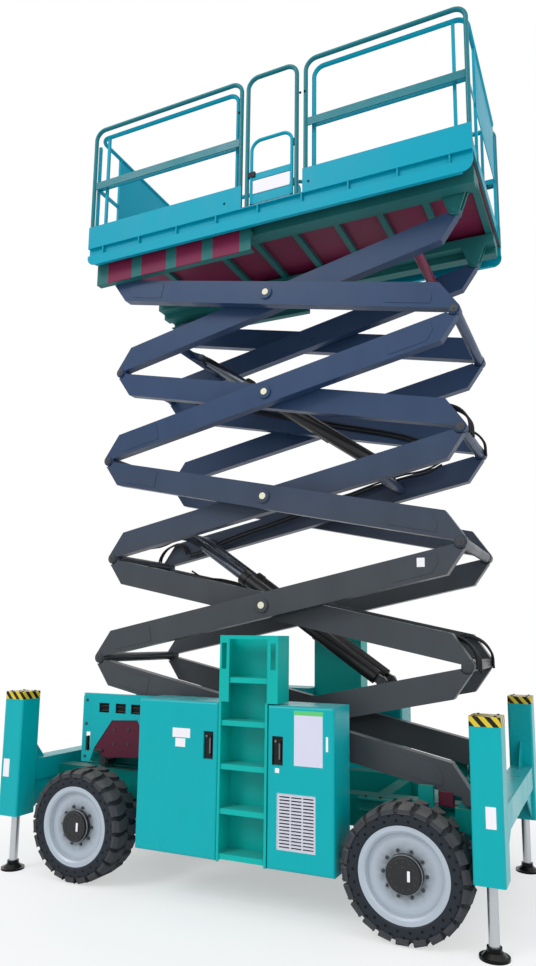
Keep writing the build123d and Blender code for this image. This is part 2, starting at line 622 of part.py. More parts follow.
def side_channel():
    """Pressed side of the platform: lower band, recessed web, flange and ribs, end corners rounded."""
    y = -PLAT_Y
    band = prism_y([(PLAT_X0, Z + 105), (PLAT_X0, Z), (PLAT_X1, Z), (PLAT_X1, Z + 105)], y, y + 8)
    band = fillet(band.edges().filter_by(Axis.Y).group_by(Axis.Z)[0], 85)
    pieces = [
        band,
        block(PLAT_X0 + 90, PLAT_X1 - 90, y, y + SIDE_D, Z, Z + 8),
        block(PLAT_X0, PLAT_X1, y, y + SIDE_D, Z + 97, Z + 105),
        block(PLAT_X0, PLAT_X1, y + SIDE_D - 8, y + SIDE_D, Z + 97, FLOOR_Z - 8),
        block(PLAT_X0, PLAT_X1, y, y + SIDE_D, FLOOR_Z - 16, FLOOR_Z - 8),
        block(PLAT_X0 + 90, PLAT_X1 - 90, y + SIDE_D - 8, y + SIDE_D, Z, Z + 105),
    ]
    for i in range(9):
        x = PLAT_X0 + 190 + i * 450
        pieces.append(block(x - 6, x + 6, y + 2, y + SIDE_D - 4, Z + 97, FLOOR_Z - 10))
    return pieces


def toe_board(x0, x1, hole_x):
    board = block(x0, x1, -PLAT_Y, -PLAT_Y + 6, FLOOR_Z - 14, Z + TOE_Z)
    return board - rod_y(hole_x, Z + 290, 13, -PLAT_Y - 1, -PLAT_Y + 7)


def platform_side():
    """Near side channel with the toe boards either side of the entry."""
    boards = [toe_board(PLAT_X0, LEFT_END, LEFT_END - 180),
              toe_board(RIGHT_START, PLAT_X1, RIGHT_START + 60)]
    return fuse(side_channel() + boards)


def platform_rail():
    """Near pair of long rails above the arms, with the slide channel and the ears of the fixed pin."""
    pieces = [
        block(PLAT_X0 + 20, PLAT_X1 - 20, -OUTER_Y - 60, -OUTER_Y + 60, Z, Z + 150),
        block(PLAT_X0 + 20, PLAT_X1 - 20, -INNER_Y - 77, -INNER_Y + 52, Z + 60, Z + 150),
        block(PLAT_X0 + 55, 60, -764, -750, TOP_PIN_Z - 62, Z + 100),
        block(PLAT_X0 + 55, 60, -764, -692, TOP_PIN_Z - 62, TOP_PIN_Z - 50),
        block(PLAT_X0 + 55, 60, -764, -692, TOP_PIN_Z + 50, TOP_PIN_Z + 62),
        block(PLAT_X0 + 55, 60, -764, -680, Z, Z + 14),
    ]
    ear = prism_y([(PIN_RIGHT - BOSS_R, TOP_PIN_Z), (PIN_RIGHT - 120, Z + 70), (PIN_RIGHT + 120, Z + 70),
                   (PIN_RIGHT + BOSS_R, TOP_PIN_Z)], 0, 24)
    ear += rod_y(PIN_RIGHT, TOP_PIN_Z, BOSS_R, 0, 24)
    pieces += [Pos(0, -INNER_Y - 50, 0) * ear, Pos(0, -INNER_Y + 26, 0) * ear]
    pieces.append(rod_y(PIN_RIGHT, TOP_PIN_Z, PIN_R, -INNER_Y - 62, -INNER_Y + 62))
    return fuse(pieces)


def platform_deck():
    """Floor plate on its cross members, with a raised panel at the entry."""
    inner = PLAT_Y - SIDE_D
    cross = [block(x - 30, x + 30, -inner, inner, Z + 150, FLOOR_Z - 8)
             for x in (PLAT_X0 + 65, -1300, -560, -120, 320, 760, 1200, 1640, PLAT_X1 - 65)]
    plate = block(PLAT_X0, PLAT_X1, -PLAT_Y + 6, PLAT_Y - 6, FLOOR_Z - 8, FLOOR_Z)
    panel = block(LEFT_END - 35, RIGHT_START + 35, -740, 740, FLOOR_Z, FLOOR_Z + 4)
    return fuse([plate, panel] + cross)


save("platform_sides", both_sides(platform_side()))
save("platform_rails", both_sides(platform_rail()))
save("platform_deck", platform_deck())


def side_loop(x0, x1, y, top, mid, foot, bend=110):
    """Rail loop of one side section: an arch of tube with a flat middle rail."""
    arch = bent_tube([(x0, y, foot), (x0, y, top), (x1, y, top), (x1, y, foot)], bend)
    return arch + block(x0, x1, y - 5, y + 5, mid - 40, mid + 40)


def guard_rails():
    y = -PLAT_Y + 6 + TUBE_R
    foot, top = FLOOR_Z, Z + RAIL_TOP_Z - TUBE_R
    left = side_loop(PLAT_X0 + TUBE_R, LEFT_END - TUBE_R, y, top, Z + MID_RAIL_Z, foot)
    right = side_loop(RIGHT_START + TUBE_R, PLAT_X1 - TUBE_R, y, top, Z + MID_RAIL_Z, foot)
    entry = bent_tube([(ENTRY_X0 + TUBE_R, y, foot), (ENTRY_X0 + TUBE_R, y, top),
                       (ENTRY_X1 - TUBE_R, y, top), (ENTRY_X1 - TUBE_R, y, foot)], 110)
    return [piece for item in (left, right, entry) for piece in both_sides(item)]


save("guard_rails", guard_rails())


def entry_gate():
    """Swing gate in the near side: bent arch, flat bar and kick board."""
    y = -PLAT_Y + 6 + TUBE_R
    x0, x1 = ENTRY_X0 + 2 * TUBE_R + 26, ENTRY_X1 - 2 * TUBE_R - 26
    foot, top = FLOOR_Z + 19, Z + 880
    arch = bent_tube([(x0, y, foot), (x0, y, top), (x1, y, top), (x1, y, foot)], 100, 16)
    arch += block(x0, x1, y - 6, y + 6, Z + 470, Z + 535)
    arch += block(x0, x1, y - 4, y + 4, foot, Z + 320)
    return arch


save("entry_gate", entry_gate())


def extension(x_end, x_in, sign, sheet_foot):
    """Sliding deck with its own rails just inside the main ones, sign pointing out of the platform.

    The end is closed by a sheet from a post near the corner, its foot at the given height.
    """
    y = -PLAT_Y + 6 + 3 * TUBE_R + 22
    top, foot = Z + RAIL_TOP_Z - 3 * TUBE_R - 12, FLOOR_Z + 8
    out_x, in_x = x_end - sign * TUBE_R, x_in + sign * TUBE_R
    a, b = sorted((x_end, x_in))
    rail = bent_tube([(in_x, y, foot), (in_x, y, top), (out_x, y, top), (out_x, -y, top),
                      (in_x, -y, top), (in_x, -y, foot)], 100)
    e0, e1 = sorted((out_x - 4, out_x + 4))
    near = [
        block(a, b, y - 15, y - 9, foot, foot + 186),
        block(min(in_x, out_x), max(in_x, out_x), y - 4, y + 4, Z + MID_RAIL_Z - 25, Z + MID_RAIL_Z + 25),
        block(out_x - 14, out_x + 14, y - 14, y + 14, foot, top - 90),
        block(out_x - 14 - sign * 116, out_x + 14 - sign * 116, y - 13, y + 13, foot, top),
    ]
    end = [
        block(a, b, y - 15, -y + 15, foot, foot + 12),
        block(e0, e1, y, -y, foot, Z + TOE_Z - 20),
        block(e0, e1, y, -y, Z + MID_RAIL_Z - 25, Z + MID_RAIL_Z + 25),
        block(e0, e1, -430, -y, sheet_foot, top),
        block(out_x - 13, out_x + 13, -443, -417, foot, top),
    ]
    return fuse([rail] + [piece for item in near for piece in both_sides(item)] + end)


save("extension_deck_left", extension(PLAT_X0 + 6, LEFT_END - 70, -1, FLOOR_Z + 8))
save("extension_deck_right", extension(PLAT_X1 - 6, RIGHT_START + 60, 1, Z + MID_RAIL_Z))
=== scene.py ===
# %% [markdown]
# # A rough-terrain scissor lift, dressed for the camera
# The machine's solids come ready made: every beam, wheel and rail already has its size and place.
# This lesson gives each of them a finish and adds the small things that a maker fits last, such as
# wheel nuts, pin caps, hazard bands, hoses and blank labels. Nothing here changes the size of the
# machine.

# %% Load the frame
import json
import math

import bmesh
import bpy
from mathutils import Matrix, Vector


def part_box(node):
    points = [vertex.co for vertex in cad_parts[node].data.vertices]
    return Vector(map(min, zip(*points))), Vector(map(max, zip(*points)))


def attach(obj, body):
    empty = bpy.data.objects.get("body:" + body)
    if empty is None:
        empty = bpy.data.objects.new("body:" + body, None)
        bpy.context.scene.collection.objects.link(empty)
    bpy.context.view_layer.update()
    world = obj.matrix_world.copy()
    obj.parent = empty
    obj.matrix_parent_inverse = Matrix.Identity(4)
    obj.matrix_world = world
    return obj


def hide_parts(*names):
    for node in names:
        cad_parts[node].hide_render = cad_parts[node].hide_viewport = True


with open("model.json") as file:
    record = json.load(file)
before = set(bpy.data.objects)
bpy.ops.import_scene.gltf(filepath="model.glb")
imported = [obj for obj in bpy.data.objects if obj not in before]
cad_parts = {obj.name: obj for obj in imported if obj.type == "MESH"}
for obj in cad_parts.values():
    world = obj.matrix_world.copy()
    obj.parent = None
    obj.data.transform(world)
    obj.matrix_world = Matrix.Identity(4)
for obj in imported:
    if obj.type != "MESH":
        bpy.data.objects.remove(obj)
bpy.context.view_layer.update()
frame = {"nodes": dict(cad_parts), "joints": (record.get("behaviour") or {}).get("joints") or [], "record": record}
nodes = frame["nodes"]
joints = {joint["name"]: joint for joint in frame["joints"]}
scene = bpy.context.scene
scene.view_settings.view_transform = "Standard"

# %% [markdown]
# ## The few sizes that the details need
# Pins are where the joints turn, so their places are read from the frame. An arm's width and its
# place across the machine are named once, and everything fixed to an arm is worked out from them.

# %% Sizes in metres
ARM_T = 0.100           # width of an arm tube
OUTER_Y = 0.635         # middle of the outer arms across the machine
INNER_Y = 0.498         # middle of the inner arms
OUTER_FACE = OUTER_Y + ARM_T / 2
INNER_FACE = INNER_Y + ARM_T / 2
STAGES = range(1, 6)
CORNERS = ("left_near", "left_far", "right_near", "right_far")
SIDES = {-1: "near", 1: "far"}      # which way each side lies along Y


def pin(name):
    """Place of a hinge in the (x, z) plane."""
    x, _, z = joints[name]["pos_m"]
    return x, z


print("centre pin at", pin("centre_pins_1"))

# %% [markdown]
# ## Colours
# Paint colours are named by their usual screen values and turned into the linear values that a
# shader wants. One table makes it plain that the machine wears only a handful of paints.

# %% The paint table
def paint(red, green, blue):
    """Linear colour of a screen colour given from 0 to 255."""
    def linear(value):
        """One of its three values, turned from screen to linear."""
        value = value / 255
        return value / 12.92 if value <= 0.04045 else ((value + 0.055) / 1.055) ** 2.4
    return (linear(red), linear(green), linear(blue), 1.0)


TEAL = paint(0, 166, 172)
TEAL_DEEP = paint(0, 128, 122)
# painted light: the cabinet teal raised for the ladders, which stand in shade
LADDER_TEAL_PAINTED_LIGHT = paint(0, 172, 164)
CYAN_TEAL = paint(0, 156, 180)
RAIL_TEAL = paint(14, 116, 126)
# painted shade: the teal under the platform, darkened where shade falls beneath the floor
SHADED_UNDERSIDE_TEAL = paint(34, 104, 104)
# painted reflection: the slate blue of the open sky on the upper arms
ARM_SKY_REFLECTION = paint(44, 66, 98)
ARM_LOW = paint(66, 70, 74)
PRIMER_RED = paint(116, 32, 66)
DULL_RED = paint(84, 28, 48)
TREAD = paint(62, 64, 68)
RUBBER = paint(38, 43, 50)
BLACK = paint(26, 27, 30)
SHADE = paint(12, 12, 14)
GREY = paint(96, 96, 96)
RIM_GREY = paint(172, 182, 192)
STEEL = paint(190, 194, 198)
# a pale grey steel for the latch handles in their dark pockets
PALE_HANDLE_STEEL = paint(112, 114, 112)
BOLT_GREY = paint(70, 72, 74)
OILED_ROD = paint(92, 98, 108)
CREAM = paint(228, 224, 196)
WHITE = paint(238, 234, 238)
BLUSH = paint(212, 210, 228)
PANEL = paint(206, 206, 216)
YELLOW = paint(214, 190, 50)
TAPE = paint(96, 196, 120)
DUST = paint(150, 146, 136)
MID_GREY = (0.5, 0.5, 0.5, 1)       # stands in a group's colour input until a material fills it
print("paints ready, the cabinets' teal is", [round(value, 3) for value in TEAL])

# %% [markdown]
# ## Shared effects
# Painted plate is never one flat colour. It fades in large soft patches, gathers dust on its
# upward faces and has a fine orange peel in its gloss. Each effect is a node group made once and
# used by all the paints. A group hands back colours, masks and heights, and the shader stays in
# the material. A few helpers add a node and wire it in one line, so that a group reads like the
# sum that it works out.

# %% Helpers for building node trees
VECTOR = "ShaderNodeVectorMath"
MIX_A, MIX_B, MIX_RESULT = 6, 7, 2  # the colour sockets of a Mix node


def new_group(name, inputs, outputs):
    """Node group with sockets from (label, kind, default) and (label, kind)."""
    group = bpy.data.node_groups.new(name, "ShaderNodeTree")
    for label, kind, value in inputs:
        group.interface.new_socket(label, in_out="INPUT", socket_type=kind).default_value = value
    for label, kind in outputs:
        group.interface.new_socket(label, in_out="OUTPUT", socket_type=kind)
    return group, group.nodes.new("NodeGroupInput"), group.nodes.new("NodeGroupOutput")


def add_node(tree, kind, values=(), **settings):
    """New node; values are (socket, value) pairs and the settings are its own options."""
    node = tree.nodes.new(kind)
    for key, value in settings.items():
        setattr(node, key, value)
    for socket, value in values:
        node.inputs[socket].default_value = value
    return node


def feed(tree, socket, value):
    """Link another node's output into a socket, or set the socket's own value."""
    if isinstance(value, bpy.types.NodeSocket):
        tree.links.new(value, socket)
    else:
        socket.default_value = value


def calc(tree, operation, *values, kind="ShaderNodeMath", output=0, **settings):
    """Output of a maths node that is fed with sockets or plain values."""
    node = add_node(tree, kind, operation=operation, **settings)
    for socket, value in zip(node.inputs, values):
        feed(tree, socket, value)
    return node.outputs[output]


print("helpers for maths nodes ready")


# %% Helpers for patterns
def object_place(tree):
    """Place of the shaded point, measured from the object's origin."""
    return add_node(tree, "ShaderNodeTexCoord").outputs["Object"]


def noise(tree, place, scale, detail):
    """Soft random pattern, read at a place."""
    node = add_node(tree, "ShaderNodeTexNoise", [("Scale", scale), ("Detail", detail)])
    feed(tree, node.inputs["Vector"], place)
    return node.outputs[0]


def ramp(tree, value, start, end, first=0.0, last=1.0):
    """Straight ramp from the first result, at the start, to the last one, at the end."""
    node = add_node(tree, "ShaderNodeMapRange", [("From Min", start), ("From Max", end),
                                                 ("To Min", first), ("To Max", last)])
    feed(tree, node.inputs["Value"], value)
    return node.outputs["Result"]


def split(tree, vector):
    """The X, Y and Z outputs of a vector."""
    node = add_node(tree, "ShaderNodeSeparateXYZ")
    feed(tree, node.inputs[0], vector)
    return node.outputs


def mix_colours(tree, share, first, second):
    """Mix of two colours: the first at a share of 0 and the second at 1."""
    node = add_node(tree, "ShaderNodeMix", data_type="RGBA")
    for socket, value in ((0, share), (MIX_A, first), (MIX_B, second)):
        feed(tree, node.inputs[socket], value)
    return node.outputs[MIX_RESULT]


def use_group(tree, group, values):
    """A group placed in a tree, its named inputs fed with sockets or plain values."""
    node = add_node(tree, "ShaderNodeGroup", node_tree=group)
    for name, value in values.items():
        feed(tree, node.inputs[name], value)
    return node


print("helpers for patterns ready")


# %% Faded paint
def faded_paint_group():
    """Soft patches of lighter and darker colour, fine streaks, and a gloss that varies too."""
    group, given, out = new_group(
        "faded paint",
        [("Colour", "NodeSocketColor", MID_GREY), ("Amount", "NodeSocketFloat", 0.1),
         ("Shine", "NodeSocketFloat", 0.35)],
        [("Colour", "NodeSocketColor"), ("Roughness", "NodeSocketFloat"),
         ("Height", "NodeSocketFloat")])
    place = object_place(group)
    upright = calc(group, "MULTIPLY", place, (5.0, 5.0, 1.1), kind=VECTOR)
    patches = noise(group, place, 1.7, 4.0)
    streaks = noise(group, upright, 1.0, 3.0)
    centred = calc(group, "SUBTRACT", calc(group, "ADD", patches, streaks), 1.0)
    strength = calc(group, "MULTIPLY", given.outputs["Amount"], 2.4)
    tint = add_node(group, "ShaderNodeHueSaturation")
    feed(group, tint.inputs["Value"], calc(group, "MULTIPLY_ADD", centred, strength, 1.0))
    feed(group, tint.inputs["Color"], given.outputs["Colour"])
    feed(group, out.inputs["Colour"], tint.outputs["Color"])
    rough = calc(group, "MULTIPLY_ADD", centred, 0.25, given.outputs["Shine"])
    feed(group, out.inputs["Roughness"], rough)
    feed(group, out.inputs["Height"], noise(group, place, 110.0, 2.0))
    return group


FADED = faded_paint_group()
print("made the group", FADED.name)


# %% Settled dust
def dust_group():
    """Dust clumps on faces that look up."""
    group, given, out = new_group(
        "settled dust",
        [("Colour", "NodeSocketColor", MID_GREY), ("Dust", "NodeSocketColor", DUST),
         ("Amount", "NodeSocketFloat", 0.3)],
        [("Colour", "NodeSocketColor")])
    normal = add_node(group, "ShaderNodeNewGeometry").outputs["Normal"]
    facing = ramp(group, split(group, normal)["Z"], 0.4, 1.0)
    clumps = calc(group, "MULTIPLY", facing, noise(group, object_place(group), 9.0, 6.0))
    amount = calc(group, "MULTIPLY", clumps, given.outputs["Amount"], use_clamp=True)
    dusty = mix_colours(group, amount, given.outputs["Colour"], given.outputs["Dust"])
    feed(group, out.inputs["Colour"], dusty)
    return group


SETTLED = dust_group()
print("made the group", SETTLED.name)

# %% [markdown]
# ## Second colours, stripes, grime and painted shade
# A sheet taped to a door or a red plate under a floor is only another colour on the same solid, so
# a mask marks the box where it lies and no new shape is needed. The warning bands are slanted
# stripes, counted along one slanting direction. Round a hub a dark ring fades out: grease and
# dust, and painted shade where the disc lies deep behind the rim.

# %% A mask that is one inside a box
def box_mask_group():
    """Mask of a box given by its centre and half size, for a patch of other colour on one solid."""
    group, given, out = new_group(
        "box mask",
        [("Centre", "NodeSocketVector", (0, 0, 0)), ("Half size", "NodeSocketVector", (1, 1, 1))],
        [("Mask", "NodeSocketFloat")])
    away = calc(group, "SUBTRACT", object_place(group), given.outputs["Centre"], kind=VECTOR)
    length = calc(group, "ABSOLUTE", away, kind=VECTOR)
    inside = split(group, calc(group, "SUBTRACT", given.outputs["Half size"], length, kind=VECTOR))
    least = calc(group, "MINIMUM", calc(group, "MINIMUM", inside["X"], inside["Y"]), inside["Z"])
    feed(group, out.inputs["Mask"], calc(group, "GREATER_THAN", least, 0.0))
    return group


BOX_MASK = box_mask_group()
print("made the group", BOX_MASK.name)


# %% Slanted warning stripes
def stripe_group():
    """Slanted stripes of two colours, measured across x, y and z together to wrap a corner."""
    group, given, out = new_group(
        "slanted stripes",
        [("First", "NodeSocketColor", YELLOW), ("Second", "NodeSocketColor", BLACK),
         ("Width", "NodeSocketFloat", 0.085)],
        [("Colour", "NodeSocketColor")])
    along = calc(group, "DOT_PRODUCT", object_place(group), (1.0, 1.0, 0.9), kind=VECTOR,
                 output="Value")
    count = calc(group, "DIVIDE", along, given.outputs["Width"])
    half = calc(group, "GREATER_THAN", calc(group, "FRACT", count), 0.5)
    stripes = mix_colours(group, half, given.outputs["First"], given.outputs["Second"])
    feed(group, out.inputs["Colour"], stripes)
    return group


STRIPES = stripe_group()
print("made the group", STRIPES.name)


# %% Grime and painted shade round a hub
def hub_grime_and_shade_group():
    """Dark grime and painted shade that thin out away from the middle of a wheel."""
    group, given, out = new_group(
        "hub grime and shade",
        [("Colour", "NodeSocketColor", MID_GREY), ("Centre", "NodeSocketVector", (0, 0, 0))],
        [("Colour", "NodeSocketColor")])
    place = object_place(group)
    away = calc(group, "DISTANCE", place, given.outputs["Centre"], kind=VECTOR, output="Value")
    near = ramp(group, away, 0.15, 0.235, 1.0, 0.0)
    clumps = calc(group, "MULTIPLY", near, noise(group, place, 22.0, 6.0))
    feed(group, out.inputs["Colour"], mix_colours(group, clumps, given.outputs["Colour"], BLACK))
    return group


HUB_GRIME_AND_SHADE = hub_grime_and_shade_group()
print("shared effects:", [group.name for group in bpy.data.node_groups])

# %% [markdown]
# ## Materials
# A material takes its colour through the fade and the dust, then hands it to one Principled
# shader. The fixed values, such as how metallic it is, are set straight on the shader. A second
# colour can be laid inside boxes, which is how one solid wears two paints. Where the first colour
# itself changes over the surface, as on the arms and the wheels, it is given as a function that
# builds it from nodes.

# %% One function for every painted or plain surface
def surface(name, colour, shine=0.35, metallic=0.0, fade=0.05, dust=0.25, bump=0.0006, gloss=0.2,
            patches=()):
    """Material of a colour, or of what a function of the node tree gives.

    Patches are (centre, half size, colour) boxes, and a colour of None gives stripes.
    """
    material = bpy.data.materials.new(name)
    material.use_nodes = True
    tree = material.node_tree
    shader = tree.nodes["Principled BSDF"]
    shader.inputs["Metallic"].default_value = metallic
    shader.inputs["Specular IOR Level"].default_value = gloss
    base = colour(tree) if callable(colour) else colour
    for centre, half, other in patches:
        mask = use_group(tree, BOX_MASK, {"Centre": centre, "Half size": half})
        second = other or use_group(tree, STRIPES, {}).outputs["Colour"]
        base = mix_colours(tree, mask.outputs["Mask"], base, second)
    faded = use_group(tree, FADED, {"Colour": base, "Amount": fade, "Shine": shine})
    dusty = use_group(tree, SETTLED, {"Colour": faded.outputs["Colour"], "Amount": dust})
    peel = add_node(tree, "ShaderNodeBump", [("Strength", 0.25), ("Distance", bump)])
    feed(tree, peel.inputs["Height"], faded.outputs["Height"])
    feed(tree, shader.inputs["Base Color"], dusty.outputs["Colour"])
    feed(tree, shader.inputs["Roughness"], faded.outputs["Roughness"])
    feed(tree, shader.inputs["Normal"], peel.outputs["Normal"])
    return material


print("one function makes every surface")


# %% Colours that change over a surface
ARM_LOOK = {"shine": 0.36, "fade": 0.1, "dust": 0.2}
DISC_BACK = 0.062       # how far the wheel disc lies behind the rim's face


def outward(corner):
    """Which way a wheel faces along Y: -1 on the near side and 1 on the far side."""
    return -1 if "near" in corner else 1


def rim_face(corner):
    """Middle of the outer face of a wheel's rim."""
    low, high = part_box("rim_" + corner)
    return (low.x + high.x) / 2, low.y if outward(corner) < 0 else high.y, (low.z + high.z) / 2


def arm_colour_with_sky_reflection(tree):
    """Grey below and slate blue above: the blue is a painted reflection of the sky on the upper arms."""
    height = ramp(tree, split(tree, object_place(tree))["Z"], 2.6, 4.3)
    return mix_colours(tree, height, ARM_LOW, ARM_SKY_REFLECTION)


def rim_colour(corner):
    """Silver wheel paint with grime and painted shade centred on one wheel's own disc."""
    x, face, z = rim_face(corner)
    given = {"Colour": RIM_GREY, "Centre": (x, face - outward(corner) * DISC_BACK, z)}
    return lambda tree: use_group(tree, HUB_GRIME_AND_SHADE, given).outputs["Colour"]


print("the arms drift from", [round(value, 3) for value in ARM_LOW[:3]], "to",
      [round(value, 3) for value in ARM_SKY_REFLECTION[:3]])

# %% [markdown]
# ## The palette
# Each material slot of the machine gets one finish. Some solids wear a second paint in a few
# places: the louvre panel and the blank sheets on the doors, the dark latch pockets, the warning
# bands on top of the outriggers, the red floor plates over cross members whose teal is darkened
# as painted shade. Those places are boxes. Most are measured from the solid's own box, so they
# follow it if the machine's size changes.

# %% Boxes for second colours on the doors
SHEET_DEPTH = 0.002     # paper and film colour only the face
POCKET_DEPTH = 0.025


def between(low, high):
    """Centre and half size of the box between two corners."""
    low, high = Vector(low), Vector(high)
    return tuple((low + high) / 2), tuple((high - low) / 2)


def door_patch(name, x0, x1, z0, z1, depth=0.03):
    """Patch on a near door: x from its left edge and z from its foot, in metres."""
    low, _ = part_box(name)
    return between((low.x + x0, low.y - 0.001, low.z + z0),
                   (low.x + x1, low.y + depth, low.z + z1))


LOUVRE = door_patch("door_right_near", 0.088, 0.408, 0.153, 0.567)
NOTICE = door_patch("door_right_near", 0.230, 0.466, 0.780, 1.180, SHEET_DEPTH)
TAPE_STRIP = door_patch("door_right_near", 0.226, 0.470, 1.158, 1.192, SHEET_DEPTH)
TAG = door_patch("door_right_near", 0.070, 0.106, 0.715, 0.750, SHEET_DEPTH)
LOCK = door_patch("door_right_near", 0.492, 0.510, 0.900, 1.010, SHEET_DEPTH)
POCKET_RIGHT = door_patch("door_right_near", 0.044, 0.136, 0.772, 0.990, POCKET_DEPTH)
POCKET_LEFT = door_patch("door_left_near", 0.643, 0.735, 0.772, 0.990, POCKET_DEPTH)
STICKER_1 = door_patch("door_left_near", 0.345, 0.515, 0.925, 1.000, SHEET_DEPTH)
STICKER_2 = door_patch("door_left_near", 0.375, 0.470, 0.850, 0.918, SHEET_DEPTH)
print("the louvre's middle is at", [round(value, 3) for value in LOUVRE[0]])

# %% Boxes for second colours on the machine
WIDE = 3                # half width of a box that takes in the whole machine
PANEL_LENGTH = 0.30
deck_low, deck_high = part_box("platform_deck")
PLATE = between((deck_low.x + 0.02, -0.9, deck_high.z - 0.0140),
                (deck_high.x - 0.02, 0.9, deck_high.z - 0.0048))
house_low, house_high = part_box("outrigger_housings")
BAND = between((-WIDE, -WIDE, house_high.z - 0.069), (WIDE, WIDE, house_high.z + 0.01))
FOOT = between((-WIDE, -WIDE, -0.1), (WIDE, WIDE, 0.079))
_, top_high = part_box("inner_frame_5")
TOP_SHAFT = between((1.40, -0.447, top_high.z - 0.45), (1.80, 0.447, top_high.z))
beam_low, beam_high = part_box("platform_rails")
UNDER_PANELS = [(*between((x, beam_low.y - 0.01, beam_low.z - 0.01),
                          (x + PANEL_LENGTH, beam_low.y + 0.012, beam_high.z - 0.03)), PRIMER_RED)
                for x in (-1.62, -1.20, -0.78, -0.36)]
print("second colours placed, with", len(UNDER_PANELS), "red panels under the platform")

# %% Finishes by slot
palette = {
    "chassis_paint": surface("chassis teal", TEAL_DEEP, shine=0.4, dust=0.4, fade=0.1),
    "teal_paint": surface("cabinet teal", TEAL, shine=0.3, dust=0.25, fade=0.035),
    "platform_paint": surface("platform teal", CYAN_TEAL, shine=0.4, dust=0.15, gloss=0.1),
    # The arms turn slate blue towards the top as a painted sky reflection.
    "arm_paint": surface("arm paint", arm_colour_with_sky_reflection, **ARM_LOOK),
    "black_paint": surface("black paint", BLACK, shine=0.38, gloss=0.4),
    "engine_grey": surface("engine grey", GREY, shine=0.6),
    "black_plastic": surface("black plastic", BLACK, shine=0.55),
    "chrome_rod": surface("oiled rod", OILED_ROD, shine=0.3, metallic=0.9, fade=0.06, dust=0.1),
    "leg_steel": surface("leg steel", STEEL, shine=0.28, metallic=0.8, fade=0.06,
                         patches=[(*FOOT, BLACK)]),
    "rim_paint": surface("wheel silver", RIM_GREY, shine=0.4, metallic=0.1, gloss=0.5, dust=0.2),
    "tyre": surface("tyre rubber", RUBBER, shine=0.75, fade=0.12, dust=0.35, bump=0.003),
    "red_primer": surface("red primer", DULL_RED, shine=0.6, fade=0.15),
}
extra = {
    "cream": surface("cream cap", CREAM, shine=0.45, dust=0.1),
    "bolt": surface("dull bolt", BOLT_GREY, shine=0.5, metallic=0.7, dust=0.3),
    "label": surface("blank label", WHITE, shine=0.5, fade=0.02, dust=0.0),
    "hose": surface("hose rubber", BLACK, shine=0.5, dust=0.2),
    # the tread blocks are a paler grey than the rubber between them, with dust on their upward faces
    "tread": surface("pale grey tread", TREAD, shine=0.85, fade=0.25, dust=0.5, bump=0.003),
    "dark": surface("deep shade", SHADE, shine=0.8, dust=0.0),
    "handle": surface("pale handle", PALE_HANDLE_STEEL, shine=0.4, metallic=0.6, dust=0.1),
}
print(len(palette), "finishes for the slots and", len(extra), "for the added pieces")

# %% Finishes of single solids
special = {
    "door_right_near": surface("louvred door", TEAL, shine=0.3, fade=0.035, patches=[
        (*LOUVRE, PANEL), (*NOTICE, BLUSH), (*TAPE_STRIP, TAPE), (*TAG, WHITE), (*LOCK, WHITE),
        (*POCKET_RIGHT, BLACK)]),
    "door_left_near": surface("plain door", TEAL, shine=0.3, fade=0.035, patches=[
        (*STICKER_1, WHITE), (*STICKER_2, WHITE), (*POCKET_LEFT, BLACK)]),
    # The deck and the beams under it wear teal darkened as painted shade, with red primer plates.
    "platform_deck": surface("deck plate in shaded teal", SHADED_UNDERSIDE_TEAL, shine=0.5, fade=0.2,
                             patches=[(*PLATE, PRIMER_RED)]),
    "platform_rails": surface("under beam shaded teal", SHADED_UNDERSIDE_TEAL, shine=0.5, fade=0.15,
                              patches=UNDER_PANELS),
    "guard_rails": surface("rail teal", RAIL_TEAL, shine=0.35),
    # The ladders take a brighter teal as painted light against the shade where they stand.
    "ladders": surface("ladder teal painted light", LADDER_TEAL_PAINTED_LIGHT, shine=0.35, dust=0.15),
    "outrigger_housings": surface("outrigger teal", TEAL, shine=0.3, patches=[(*BAND, None)]),
    "inner_frame_5": surface("top arm paint", arm_colour_with_sky_reflection, patches=[(*TOP_SHAFT, PRIMER_RED)],
                             **ARM_LOOK),
}
# Each rim's dark ring round the hub is grime and painted shade.
for corner in CORNERS:
    special["rim_" + corner] = surface("wheel silver " + corner.replace("_", " "),
                                       rim_colour(corner), shine=0.42, metallic=0.1, gloss=0.5,
                                       dust=0.2)
print(len(special), "solids have a finish of their own")

# %% Dress the solids
slots = {part["node"]: part["material_slot"] for part in frame["record"]["subparts"]}
for name, solid in nodes.items():
    solid.data.materials.clear()
    solid.data.materials.append(special.get(name, palette[slots[name]]))
print("dressed", len(nodes), "solids")

# %% [markdown]
# ## Tools for small pieces
# Small fittings repeat many times, so they are made together: one mesh takes all the wheel nuts,
# another all the pin caps. The first functions below add one plain shape to a growing mesh, and
# the next ones turn a mesh or a curve into an object that rides on the right body.

# %% Shape helpers
def break_edges(bm, edges, width, segments=2):
    """Small bevel along a list of edges."""
    bmesh.ops.bevel(bm, geom=edges, offset=width, offset_type="OFFSET", segments=segments,
                    profile=0.5, affect="EDGES", material=-1)


def add_box(bm, low, high, bevel):
    """Box between two corners, its edges broken by a small bevel."""
    low, high = Vector(low), Vector(high)
    matrix = Matrix.LocRotScale((low + high) / 2, None, high - low)
    made = bmesh.ops.create_cube(bm, size=1.0, matrix=matrix)["verts"]
    break_edges(bm, list({edge for vert in made for edge in vert.link_edges}), bevel)


